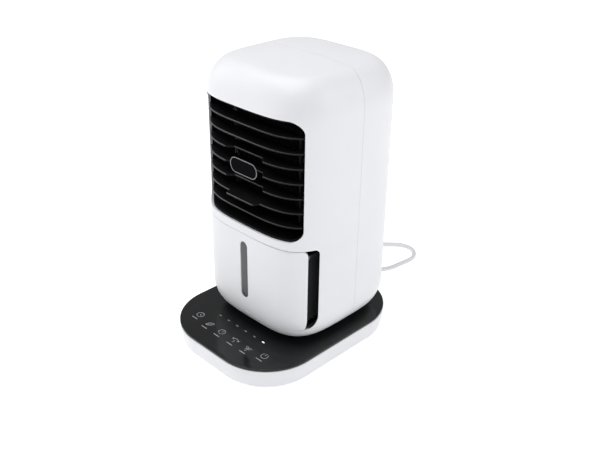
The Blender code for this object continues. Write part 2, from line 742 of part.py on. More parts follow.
def fan():
    centre = Vector((0, BODY_Y, FAN_Z))
    back = Vector((0, 1, 0))
    plate = rounded_box_outline(70 * MM, DECK_TOP + GAP, 292 * MM, 6 * MM, 14 * MM, 4)
    plate_front, plate_back = BODY_Y + 26 * MM, BODY_Y + 28 * MM
    shroud = add_part("fan_shroud", prism_mesh("fan_shroud", plate, "Y", plate_front, plate_back), BLACK)
    duct_front = BODY_Y - 6 * MM
    duct_wall = FAN_DUCT_RADIUS + 2 * MM
    fuse(shroud, rod_mesh("duct", duct_wall, (0, duct_front, FAN_Z), (0, plate_back, FAN_Z), 48))
    bore_start, bore_end = (0, duct_front - 9 * MM, FAN_Z), (0, plate_back + 9 * MM, FAN_Z)
    cut(shroud, rod_mesh("duct_bore", FAN_DUCT_RADIUS, bore_start, bore_end, 48))
    arm = 3 * MM
    arm_front = plate_back - 3 * MM
    reach = FAN_DUCT_RADIUS + 1 * MM
    fuse(
        shroud,
        box_mesh("arm_across", (-reach, arm_front, FAN_Z - arm), (reach, plate_back, FAN_Z + arm)),
        box_mesh("arm_up", (-arm, arm_front, FAN_Z - reach), (arm, plate_back, FAN_Z + reach)),
        rod_mesh("motor_seat", 20 * MM, (0, arm_front, FAN_Z), (0, plate_back, FAN_Z), 24),
    )
    cut(shroud, rod_mesh("shaft_hole", SHAFT_RADIUS + 3 * GAP, (0, arm_front - 9 * MM, FAN_Z), bore_end, 16))

    motor_front = plate_back + GAP
    motor = rod_mesh("fan_motor", 17 * MM, (0, motor_front, FAN_Z), (0, motor_front + 22 * MM, FAN_Z), 28)
    motor = add_part("fan_motor", motor, STEEL)
    core_start, core_end = (0, motor_front - 5 * MM, FAN_Z), (0, motor_front + 18 * MM, FAN_Z)
    cut(motor, rod_mesh("motor_core", SHAFT_RADIUS + GAP, core_start, core_end, 16))

    shaft_start, shaft_end = (0, BODY_Y + 8 * MM, FAN_Z), (0, motor_front + 17 * MM, FAN_Z)
    shaft = add_part("fan_shaft", rod_mesh("fan_shaft", SHAFT_RADIUS, shaft_start, shaft_end, 16), STEEL)
    put_origin(shaft, centre)

    hub_front, hub_back = BODY_Y + 4 * MM, BODY_Y + 22 * MM
    impeller = rod_mesh("fan_impeller", HUB_RADIUS, (0, hub_front, FAN_Z), (0, hub_back, FAN_Z), 28)
    impeller = add_part("fan_impeller", impeller, BLACK)
    for number in range(BLADES):
        turn = Matrix.Rotation(2 * math.pi * number / BLADES, 4, back)
        pitch = Matrix.Rotation(math.radians(35), 4, "Z")
        root_chord, tip_chord = 16 * MM, 27 * MM
        outline = [
            (-root_chord / 2, HUB_RADIUS - 3 * MM),
            (root_chord / 2, HUB_RADIUS - 3 * MM),
            (tip_chord / 2, BLADE_RADIUS - 4 * MM),
            (0, BLADE_RADIUS),
            (-tip_chord / 2, BLADE_RADIUS - 3 * MM),
        ]
        blade = prism_mesh(f"blade_{number}", outline, "Y", -0.9 * MM, 0.9 * MM)
        middle = Matrix.Translation(centre + back * 13 * MM)
        blade.transform(middle @ turn @ pitch)
        fuse(impeller, blade)
    hub_start, hub_end = (0, hub_front + 3 * MM, FAN_Z), (0, hub_back + 5 * MM, FAN_Z)
    cut(impeller, rod_mesh("hub_bore", SHAFT_RADIUS + GAP, hub_start, hub_end, 16))
    put_origin(impeller, centre)


def water_path():
    inner_x = PAD_HALF_X - PAD_WALL
    low, high = DECK_TOP + GAP, PAD_TOP + PAD_WALL
    frame_outline = rounded_box_outline(PAD_HALF_X, low, high, 3 * MM, 3 * MM, 2)
    frame = add_part("pad_frame", prism_mesh("pad_frame", frame_outline, "Y", PAD_FRONT, PAD_BACK), BLACK)
    hole_low = (-inner_x, PAD_FRONT - 5 * MM, low + PAD_WALL)
    cut(frame, box_mesh("pad_hole", hole_low, (inner_x, PAD_BACK + 5 * MM, PAD_TOP)))
    pad_low = (-inner_x + GAP, PAD_FRONT + 1 * MM, low + PAD_WALL + GAP)
    pad_high = (inner_x - GAP, PAD_BACK - 1 * MM, PAD_TOP - GAP)
    add_part("cooling_pad", box_mesh("cooling_pad", pad_low, pad_high), PAPER)

    trough_low = (-56 * MM, PAD_FRONT + 2 * MM, high + GAP)
    trough_high = (56 * MM, PAD_BACK - 2 * MM, high + 11 * MM)
    trough = add_part("water_trough", box_mesh("water_trough", trough_low, trough_high), BLACK)
    rim = Vector((1.5 * MM, 1.5 * MM, 0))
    hollow_low = Vector(trough_low) + rim + Vector((0, 0, 1.5 * MM))
    hollow_high = Vector(trough_high) - rim + Vector((0, 0, 5 * MM))
    inlet_x, inlet_z = 50 * MM, high + 6 * MM
    inlet_start = (inlet_x, trough_high[1] - 1 * MM, inlet_z)
    fuse(trough, rod_mesh("trough_inlet", 3 * MM, inlet_start, (inlet_x, BODY_Y - 5 * MM, inlet_z), 16))
    cut(trough, box_mesh("trough_hollow", hollow_low, hollow_high))

    sump_low = BODY_BOTTOM + WALL + GAP
    front, back = BODY_Y + 14 * MM, BODY_Y + 58 * MM
    tray = box_mesh("sump_tray", (-42 * MM, front, sump_low), (42 * MM, back, 50 * MM))
    sump = add_part("sump_tray", tray, BLACK)
    wall = 2 * MM
    hollow_low = (-42 * MM + wall, front + wall, sump_low + wall)
    cut(sump, box_mesh("sump_hollow", hollow_low, (42 * MM - wall, back - wall, 60 * MM)))

    pump_low = sump_low + wall + GAP
    pump_y = BODY_Y + 38 * MM
    can = rod_mesh("water_pump", 14 * MM, (0, pump_y, pump_low), (0, pump_y, 58 * MM), 24)
    pump = add_part("water_pump", can, BLACK)
    fuse(pump, rod_mesh("pump_spigot", 3 * MM, (0, pump_y, 56 * MM), (0, pump_y, 64 * MM), 16))

    route = [
        (0, 38, 64.3),
        (2, 40, 80),
        (20, 44, 102),
        (46, 46, 122),
        (61, 46, 142),
        (65.5, 44.5, 170),
        (66.5, 43, 220),
        (66, 42, 262),
        (64, 38, 286),
        (59.5, 27, 300),
        (53, 14, 301.5),
        (50, 4, 300),
        (50, -4.6, 300),
    ]
    points = [Vector((x * MM, BODY_Y + y * MM, z * MM)) for x, y, z in route]
    tube("water_hose", points, 2.6 * MM, NYLON, 36)


def smooth_route(points, count):
    """A Catmull-Rom curve through the points, read at even distances."""
    padded = [points[0] * 2 - points[1], *points, points[-1] * 2 - points[-2]]
    fine = []
    per_span = 24
    for a, b, c, d in zip(padded, padded[1:], padded[2:], padded[3:]):
        for step in range(per_span):
            t = step / per_span
            bend = 2 * a - 5 * b + 4 * c - d
            twist = 3 * b - a - 3 * c + d
            fine.append(0.5 * (2 * b + (c - a) * t + bend * t**2 + twist * t**3))
    fine.append(points[-1])
    walked = [0.0]
    for a, b in zip(fine, fine[1:]):
        walked.append(walked[-1] + (b - a).length)
    even = []
    at = 0
    for step in range(count):
        wanted = walked[-1] * step / (count - 1)
        while at < len(walked) - 2 and walked[at + 1] < wanted:
            at += 1
        share = (wanted - walked[at]) / max(walked[at + 1] - walked[at], 1e-9)
        even.append(fine[at].lerp(fine[at + 1], min(max(share, 0.0), 1.0)))
    return even


def tube(name, points, radius, material, count):
    """A round tube along a smooth curve through the points."""
    curve = bpy.data.curves.new(name, "CURVE")
    curve.dimensions = "3D"
    curve.bevel_depth = radius
    curve.bevel_resolution = 2
    curve.use_fill_caps = True
    spline = curve.splines.new("POLY")
    path = smooth_route(points, count)
    spline.points.add(len(path) - 1)
    for target, point in zip(spline.points, path):
        target.co = (*point, 1.0)
    made = bpy.data.objects.new(name, curve)
    made.data.materials.append(material)
    PARTS.objects.link(made)
    return made


# ---------------------------------------------------------------- tank


def tank():
    before, behind = BODY_Y - 120 * MM, BODY_Y - 20 * MM
    panel = add_part("tank_front", body_mesh("tank_front", 0), WHITE)
    cut(panel, body_mesh("hollow_tank_front", WALL))
    outline = rounded_box_outline(TANK_PANEL_HALF_X, TANK_PANEL_LOW, TANK_PANEL_HIGH, *TANK_PANEL_CORNERS)
    trim(panel, prism_mesh("panel_outline", outline, "Y", before, behind))
    round_end = WINDOW_WIDTH / 2
    corner = round_end - 0.01 * MM
    slot = rounded_box_outline(round_end, WINDOW_LOW, WINDOW_HIGH, corner, corner)
    cut(panel, prism_mesh("window_slot", slot, "Y", before, BODY_Y - 70 * MM))
    inner = round_end - GAP
    corner = inner - 0.01 * MM
    glass = rounded_box_outline(inner, WINDOW_LOW + GAP, WINDOW_HIGH - GAP, corner, corner)
    window = prism_mesh("level_window", glass, "Y", BODY_Y - 83.2 * MM, BODY_Y - 81.6 * MM)
    add_part("level_window", window, SMOKE)

    clear = WALL + GAP
    steps = 14

    def plan(half_x, inset, back):
        points = []
        for step in range(steps + 1):
            x = -half_x + 2 * half_x * step / steps
            points.append((x, front_y(x, inset)))
        return points + [(half_x, back), (-half_x, back)]

    tank_bin = add_part(
        "tank_bin", prism_mesh("tank_bin", plan(BIN_HALF_X, clear, BIN_BACK), "Z", BIN_LOW, BIN_HIGH), SMOKE
    )
    face = rounded_box_outline(BIN_HALF_X, BIN_LOW, BIN_HIGH + 30 * MM, 12 * MM, 1 * MM)
    trim(tank_bin, prism_mesh("bin_face", face, "Y", before, BODY_Y + 40 * MM))
    trim(tank_bin, body_mesh("bin_front_form", clear))
    rim_low = BIN_HIGH - 3.5 * MM
    rim_plan = plan(BIN_HALF_X + BIN_WALL, clear, BIN_BACK)
    fuse(tank_bin, prism_mesh("bin_rim", rim_plan, "Z", rim_low, BIN_HIGH + 1 * MM))
    hollow = plan(BIN_HALF_X - BIN_WALL, clear + BIN_WALL, BIN_BACK - BIN_WALL)
    cavity = add_helper(
        "cut_bin_cavity", prism_mesh("bin_cavity", hollow, "Z", BIN_LOW + 2.5 * MM, BIN_HIGH + 9 * MM)
    )
    inner_face = rounded_box_outline(
        BIN_HALF_X - BIN_WALL, BIN_LOW + 2.5 * MM, BIN_HIGH + 30 * MM, 10 * MM, 1 * MM
    )
    trim(cavity, prism_mesh("bin_inner", inner_face, "Y", before, BODY_Y + 40 * MM))
    boolean(tank_bin, cavity, "DIFFERENCE")
    post_x, post_y = 40 * MM, BODY_Y - 25 * MM
    post_low, post_high = (post_x, post_y, BIN_LOW + 1 * MM), (post_x, post_y, 125 * MM)
    fuse(tank_bin, rod_mesh("float_post", 2.5 * MM, post_low, post_high, 12))

    spout_z = 60 * MM
    spout_start = (0, BIN_BACK + GAP, spout_z)
    spout = rod_mesh("tank_spout", 5 * MM, spout_start, (0, BIN_BACK + 5.4 * MM, spout_z), 16)
    add_part("tank_spout", spout, BLACK)

    float_low = BIN_LOW + 2.5 * MM + GAP
    ring = [
        (3 * MM, float_low + 10 * MM),
        (9 * MM, float_low + 10 * MM),
        (9 * MM, float_low),
        (3 * MM, float_low),
        (3 * MM, float_low + 10 * MM),
    ]
    turned("tank_float", ring, (post_x, post_y, 0), (0, 0, 1), NYLON, steps=24)

    rail_low = BODY_BOTTOM + WALL + GAP
    for side, x in (("left", -53 * MM), ("right", 53 * MM)):
        low = (x - 3 * MM, BODY_Y - 55 * MM, rail_low)
        high = (x + 3 * MM, BODY_Y + 6 * MM, BIN_LOW - GAP)
        add_part(f"tank_rail_{side}", box_mesh(f"tank_rail_{side}", low, high), BLACK)


# ---------------------------------------------------------------- cord


def cord():
    wall_out = BASE_DEPTH / 2 - 1.5 * MM
    profile = [
        (0, GLAND_END),
        (3.6 * MM, GLAND_END),
        (5.2 * MM, BASE_DEPTH / 2 + 4 * MM),
        (6 * MM, BASE_DEPTH / 2 + 3 * MM),
        (6 * MM, BASE_DEPTH / 2 + GAP),
        (GLAND_SHANK, BASE_DEPTH / 2 + GAP),
        (GLAND_SHANK, wall_out - 6.8 * MM),
        (6.2 * MM, wall_out - 6.8 * MM),
        (6.2 * MM, wall_out - 8.5 * MM),
        (0, wall_out - 8.5 * MM),
    ]
    turned("cord_gland", profile, (0, 0, CORD_EXIT_Z), (0, 1, 0), CORD_WHITE, steps=20)

    route = [
        (0, 142.3, 12),
        (0.6, 150, 11.6),
        (2.2, 160, 10.6),
        (4.2, 170, 8.9),
        (5.9, 180, 6.6),
        (7.1, 190, 4.4),
        (7.9, 200, 3.2),
        (9, 212, 2.9),
        (10.4, 224, 2.9),
        (10.2, 237, 2.9),
        (4.2, 249, 2.9),
        (-7, 256.3, 2.9),
        (-20.5, 255.6, 2.9),
        (-32.5, 247, 2.9),
        (-46, 233.5, 2.9),
        (-60, 219.5, 2.9),
        (-74, 205.5, 2.9),
        (-84.5, 195, 2.9),
    ]
    tube("cord_tube", [Vector(point) * MM for point in route], CORD_RADIUS, CORD_WHITE, 26)

    across = COIL_TURNS_WIDE * CORD_RADIUS
    inner, outer = COIL_MID_RADIUS - across, COIL_MID_RADIUS + across
    top = COIL_TURNS_HIGH * 2 * CORD_RADIUS + 0.1 * MM
    low = 0.1 * MM
    ring = [(inner, top), (outer, top), (outer, low), (inner, low), (inner, top)]
    turned("cord_coil", ring, (*COIL_CENTRE, 0), (0, 0, 1), CORD_WHITE, steps=32)

    plug_x = COIL_CENTRE[0] - (outer - CORD_RADIUS)
    plug_z = 6.9 * MM
    neck_end = 114 * MM
    tail = [
        (plug_x, 133 * MM, 8.3 * MM),
        (plug_x, 127 * MM, 7.9 * MM),
        (plug_x, 120 * MM, 7.2 * MM),
        (plug_x, neck_end + GAP, plug_z),
    ]
    tube("cord_tail", [Vector(point) for point in tail], CORD_RADIUS, CORD_WHITE, 5)

    body_end, shoulder, waist = neck_end - 15 * MM, neck_end - 22 * MM, neck_end - 41 * MM
    body_front, pin_end = neck_end - 49 * MM, neck_end - 68 * MM
    outline = [
        (plug_x - 6 * MM, body_end),
        (plug_x - 13 * MM, shoulder),
        (plug_x - 17.5 * MM, waist),
        (plug_x - 17.5 * MM, body_front),
        (plug_x + 17.5 * MM, body_front),
        (plug_x + 17.5 * MM, waist),
        (plug_x + 13 * MM, shoulder),
        (plug_x + 6 * MM, body_end),
    ]
    plug = add_part("plug", prism_mesh("plug", outline, "Z", 0.1 * MM, 13.7 * MM), CORD_WHITE)
    neck_start, neck_stop = (plug_x, neck_end, plug_z), (plug_x, body_end - 1 * MM, plug_z)
    fuse(plug, rod_mesh("plug_neck", 3.4 * MM, neck_start, neck_stop, 16, 5 * MM))
    for side in (-1, 1):
        pin_start = (plug_x + side * 9.5 * MM, body_front + 2 * MM, plug_z)
        fuse(plug, rod_mesh("plug_pin", 2 * MM, pin_start, (plug_x + side * 9 * MM, pin_end, plug_z), 12))


base_tray()
base_cover()
base_fittings()
swing_drive()
shells()
rear_intake()
grille_frame()
louvres()
fan()
water_path()
tank()
cord()
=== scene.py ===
"""Looks of a desktop air cooler: white swinging housing, black louvres, tank drawer, touch base, cord.

Lengths are in metres. +Z is up, -Y is the front. The housing's plan is a superellipse whose size
shrinks by an inset that depends on height, so most skins are points (polar angle, inset, height).
"""

import math

import bmesh
import bpy
import numpy as np
from mathutils import Matrix, Vector


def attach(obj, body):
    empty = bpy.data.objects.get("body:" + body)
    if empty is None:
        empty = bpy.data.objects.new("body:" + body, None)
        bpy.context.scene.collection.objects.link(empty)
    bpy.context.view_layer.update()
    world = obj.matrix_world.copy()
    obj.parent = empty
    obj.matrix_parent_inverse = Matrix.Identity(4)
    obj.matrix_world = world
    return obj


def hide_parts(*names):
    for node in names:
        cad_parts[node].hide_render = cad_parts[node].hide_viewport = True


MM = 0.001
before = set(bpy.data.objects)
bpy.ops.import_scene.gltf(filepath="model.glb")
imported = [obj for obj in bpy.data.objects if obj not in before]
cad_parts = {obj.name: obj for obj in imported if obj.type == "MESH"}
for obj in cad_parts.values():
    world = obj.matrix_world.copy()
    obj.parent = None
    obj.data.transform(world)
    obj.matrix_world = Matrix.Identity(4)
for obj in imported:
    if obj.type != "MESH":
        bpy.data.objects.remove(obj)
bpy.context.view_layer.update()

# Sizes shared with the moulded parts
POWER = 3.83
BODY_Y = 23.5 * MM
HALF_X, HALF_Y = 83.5 * MM, 84 * MM
BODY_BOTTOM, HEIGHT, CROWN = 34 * MM, 330 * MM, 2.5 * MM
TOP_ROUND, TOP_RISE = 25 * MM, 42 * MM
LOW_ROUND, LOW_RISE = 14 * MM, 30 * MM
FILLET_TOP = HEIGHT - CROWN
FILLET_LOW = FILLET_TOP - TOP_RISE
WALL = 2.5 * MM
SEAM = 7 * MM
PIVOT_Y = BODY_Y - 64 * MM
CRANK = 6 * MM
TRAY_TOP, TRAY_TAPER = 23.9 * MM, 2.8 * MM
COVER_LOW, COVER_TOP = TRAY_TOP + 0.3 * MM, TRAY_TOP + 3.3 * MM
LOUVRE_TOP, LOUVRE_PITCH, LOUVRE_BACK = 272.1 * MM, 16.2 * MM, 2 * MM
LIP = 0.8 * MM
NECK_RADIUS, COVER_HOLE = 34 * MM, 45 * MM
WAIST = 200 * MM
CORD_RADIUS = 2.8 * MM


# ---- mesh tools


def mesh_piece(name, patches, material, body, nodes=(), sharp=35.0, weld=2e-6, faceted=False):
    """Point grids of shape (rows, columns, 3) become quads, edges that meet are welded and every face is
    turned outwards."""
    starts = np.cumsum([0] + [patch.shape[0] * patch.shape[1] for patch in patches])
    points = np.concatenate([patch.reshape(-1, 3) for patch in patches])
    quads = []
    for start, patch in zip(starts, patches):
        rows, columns = patch.shape[:2]
        index = start + np.arange(rows * columns).reshape(rows, columns)
        corners = (index[:-1, :-1], index[:-1, 1:], index[1:, 1:], index[1:, :-1])
        quads.append(np.stack(corners, axis=-1).reshape(-1, 4))
    quads = np.concatenate(quads)
    mesh = bpy.data.meshes.new(name)
    mesh.vertices.add(len(points))
    mesh.vertices.foreach_set("co", points.ravel())
    mesh.loops.add(quads.size)
    mesh.loops.foreach_set("vertex_index", quads.ravel().astype(np.int32))
    mesh.polygons.add(len(quads))
    mesh.polygons.foreach_set("loop_start", np.arange(0, quads.size, 4, dtype=np.int32))
    mesh.update(calc_edges=True)
    work = bmesh.new()
    work.from_mesh(mesh)
    bmesh.ops.remove_doubles(work, verts=work.verts[:], dist=weld)
    bmesh.ops.dissolve_degenerate(work, edges=work.edges[:], dist=1e-7)
    bmesh.ops.recalc_face_normals(work, faces=work.faces[:])
    work.to_mesh(mesh)
    work.free()
    if not faceted:
        mesh.shade_smooth()
        mesh.set_sharp_from_angle(angle=math.radians(sharp))
    made = bpy.data.objects.new(name, mesh)
    bpy.context.scene.collection.objects.link(made)
    mesh.materials.append(material)
    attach(made, body)
    if nodes:
        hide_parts(*nodes)
    return made


def points_at(x, y, z):
    """Coordinates as points. Any of the three may be one value for all of them."""
    return np.stack(np.broadcast_arrays(x, y, z), axis=-1)


def rounding(radius, *degrees):
    """Along a quarter round, how far it has yet to go, radius (1 - sine), and how deep it has gone,
    radius (1 - cosine)."""
    return [(radius * (1 - math.sin(turn)), radius * (1 - math.cos(turn))) for turn in np.radians(degrees)]


def spread(*stops, counts):
    """Even steps between each pair of stops, as one rising list."""
    parts = [np.linspace(a, b, n, endpoint=False) for a, b, n in zip(stops, stops[1:], counts)]
    return np.concatenate(parts + [[stops[-1]]])


def round_loop(half_u, low, high, radius_low, radius_high, arc, across, up, middle_u=0.0):
    """A rectangle with round corners, from the middle of its low left corner and counter-clockwise. A radius
    is one value, or a pair across and up for a quarter ellipse. Each side is half an arc, a straight run and
    half an arc. Returns u, v and the outward normal."""
    radius_low, radius_high = np.broadcast_to(radius_low, 2), np.broadcast_to(radius_high, 2)
    left_low = (-half_u + radius_low[0], low + radius_low[1])
    right_low = (half_u - radius_low[0], low + radius_low[1])
    left_high = (-half_u + radius_high[0], high - radius_high[1])
    right_high = (half_u - radius_high[0], high - radius_high[1])
    corners = (
        (left_low, radius_low, 225, 270),
        (right_low, radius_low, 270, 315),
        (right_low, radius_low, 315, 360),
        (right_high, radius_high, 0, 45),
        (right_high, radius_high, 45, 90),
        (left_high, radius_high, 90, 135),
        (left_high, radius_high, 135, 180),
        (left_low, radius_low, 180, 225),
    )
    straight = (across, up, across, up)
    places, normals = [], []
    for side in range(4):
        ends = []
        for centre, radius, first, last in corners[2 * side : 2 * side + 2]:
            angle = np.radians(np.linspace(first, last, arc + 1))
            round_part = np.stack([np.cos(angle), np.sin(angle)], axis=-1)
            normal = round_part / radius
            normal /= np.linalg.norm(normal, axis=1, keepdims=True)
            ends.append((np.array(centre) + radius * round_part, normal))
        (first_place, first_normal), (last_place, last_normal) = ends
        share = np.linspace(0, 1, straight[side] + 1)[1:-1, None]
        run = first_place[-1] * (1 - share) + last_place[0] * share
        places += [first_place, run, last_place[:-1]]
        normals += [first_normal, np.repeat(first_normal[-1:], len(run), axis=0), last_normal[:-1]]
    places, normals = np.concatenate(places), np.concatenate(normals)
    return places[:, 0] + middle_u, places[:, 1], normals[:, 0], normals[:, 1]


def frame_loop(columns, rows):
    """The border of a grid of columns and rows, from its low left corner and counter-clockwise."""
    across, up = np.ones(len(columns) - 1), np.ones(len(rows) - 1)
    u = np.concatenate([columns[:-1], up * columns[-1], columns[:0:-1], up * columns[0]])
    v = np.concatenate([across * rows[0], rows[:-1], across * rows[-1], rows[:0:-1]])
    return u, v


def close(patch):
    """Repeats a closed grid's first column at its end."""
    return np.concatenate([patch, patch[:, :1]], axis=1)


def pole(ring):
    """A row of the same length whose points all lie at the ring's middle."""
    return np.repeat((ring.min(axis=0) + ring.max(axis=0))[None, None] / 2, len(ring), axis=1)


def ease(value, first, last):
    """0 before first, 1 after last, and a smooth step between them."""
    share = np.clip((value - first) / (last - first), 0, 1)
    return share * share * (3 - 2 * share)


def turned(profile, centre, axis="Z", steps=48):
    """A profile of (radius, height) turned about a line through centre: height runs along the axis."""
    radius, height = np.array(profile, float).T[:, :, None]
    angle = np.linspace(0, 2 * math.pi, steps + 1)[None, :]
    a, b, c = radius * np.cos(angle), radius * np.sin(angle), height + 0 * angle
    order = {"Z": (a, b, c), "Y": (b, c, a), "X": (c, a, b)}[axis]
    return np.stack(order, axis=-1) + np.array(centre)


def swept(path, radius, sides=12, capped=True):
    """A round tube along a path. Each ring lies square to the path, on a normal that is carried along it
    by taking out the part that lies along the next tangent."""
    path = np.asarray(path, float)
    tangent = np.gradient(path, axis=0)
    tangent /= np.linalg.norm(tangent, axis=1, keepdims=True)
    normal = np.zeros_like(path)
    start = np.array([0.0, 0.0, 1.0]) if abs(tangent[0][2]) < 0.9 else np.array([1.0, 0.0, 0.0])
    for i, along in enumerate(tangent):
        start = start - along * start.dot(along)
        start = start / np.linalg.norm(start)
        normal[i] = start
    across = np.cross(tangent, normal)
    angle = np.linspace(0, 2 * math.pi, sides + 1)
    radius = np.broadcast_to(np.asarray(radius, float), (len(path),))[:, None, None]
    ring = normal[:, None] * np.cos(angle)[None, :, None] + across[:, None] * np.sin(angle)[None, :, None]
    tube = path[:, None] + radius * ring
    if capped:
        first = np.repeat(path[:1, None], sides + 1, axis=1)
        last = np.repeat(path[-1:, None], sides + 1, axis=1)
        tube = np.concatenate([first, tube, last])
    return tube


def curve_through(points, spacing):
    """A Catmull-Rom curve through the points, read at even distances."""
    points = np.asarray(points, float)
    padded = np.concatenate([[2 * points[0] - points[1]], points, [2 * points[-1] - points[-2]]])
    a, b, c, d = padded[:-3, None], padded[1:-2, None], padded[2:-1, None], padded[3:, None]
    t = np.linspace(0, 1, 24, endpoint=False)[None, :, None]
    fine = 0.5 * (2 * b + (c - a) * t + (2 * a - 5 * b + 4 * c - d) * t**2 + (3 * b - a - 3 * c + d) * t**3)
    fine = np.concatenate([fine.reshape(-1, 3), points[-1:]])
    walked = np.concatenate([[0], np.cumsum(np.linalg.norm(np.diff(fine, axis=0), axis=1))])
    wanted = np.linspace(0, walked[-1], max(2, round(walked[-1] / spacing) + 1))
    return np.stack([np.interp(wanted, walked, fine[:, k]) for k in range(3)], axis=-1)


# ---- the housing's form


def inset_at(z):
    """How far the plan has drawn in at a height: a quarter ellipse at the foot and one at the shoulder."""
    low = np.clip((z - BODY_BOTTOM) / LOW_RISE, 0, 1)
    foot = LOW_ROUND * (1 - np.sqrt(np.clip(1 - (1 - low) ** 2, 0, 1)))
    high = np.clip((z - FILLET_LOW) / TOP_RISE, 0, 1)
    return foot + TOP_ROUND * (1 - np.sqrt(1 - high**2))


def inner_inset_at(z):
    """The inset of the wall's inner side. Above the waist it is the outer one a wall's thickness higher."""
    return WALL + inset_at(np.where(z > WAIST, np.minimum(z + WALL, FILLET_TOP), z))


def on_body(angle, inset, z, side=-1):
    """Polar point of the superellipse |x|^n + |y|^n = 1, scaled to the plan at that inset."""
    sine, cosine = np.sin(angle), np.cos(angle)
    reach = (abs(sine) ** POWER + abs(cosine) ** POWER) ** (-1 / POWER)
    x = (HALF_X - inset) * reach * sine
    y = BODY_Y + side * (HALF_Y - inset) * reach * cosine
    return points_at(x, y, z)


def angle_at(x, inset):
    """The polar angle at which the plan passes x."""
    share = np.clip(x / (HALF_X - inset), -1, 1)
    return np.arctan2(share, (1 - abs(share) ** POWER) ** (1 / POWER))


def wall_y(x, inset, side=-1):
    """The superellipse solved for y at x: half the depth times (1 - |x|^n)^(1/n)."""
    share = np.clip(abs(x) / (HALF_X - inset), 0, 1)
    return BODY_Y + side * (HALF_Y - inset) * (1 - share**POWER) ** (1 / POWER)


def face_point(x, z, inset, side=-1):
    """A point of the front or rear face, found by its x and height."""
    return points_at(x, wall_y(x, inset, side), z)


def ring_patch(border, loop, inset, steps, side=-1, lip=0.0):
    """Rows from a border in (angle, height) to an opening's outline, straight in angle and height."""
    u, v = border
    x, z, normal_x, normal_z = loop
    x, z = x + normal_x * lip, z + normal_z * lip
    target = angle_at(x, inset(z))
    share = np.linspace(0, 1, steps + 1)[:, None] ** 0.8
    angle, height = u * (1 - share) + target * share, v * (1 - share) + z * share
    return close(on_body(angle, inset(height), height, side))


def lip_of(loop):
    """The radius of an opening's edge, which is sharper along its foot and at the left of its head."""
    x, _, _, normal_z = loop
    slanting, level = 0.3, 0.9
    head = ease(normal_z, slanting, level) * ease(-x, -50 * MM, 0)
    return LIP * (1 - 0.6 * ease(-normal_z, slanting, level) - 0.7 * head)


def lip_rows(loop, side):
    """A quarter round over an opening's edge, then a straight wall to the inner skin."""
    x, z, normal_x, normal_z = loop
    lip = lip_of(loop)
    rows = []
    for out, deep in rounding(lip, 0, 22.5, 45, 67.5, 90):
        edge_x, edge_z = x + normal_x * out, z + normal_z * out
        row = face_point(edge_x, edge_z, inset_at(edge_z), side)
        row[:, 1] -= side * deep
        rows.append(row)
    last = face_point(x, z, inner_inset_at(z), side)
    rows.append((rows[-1] + last) / 2)
    rows.append(last)
    return close(np.stack(rows))


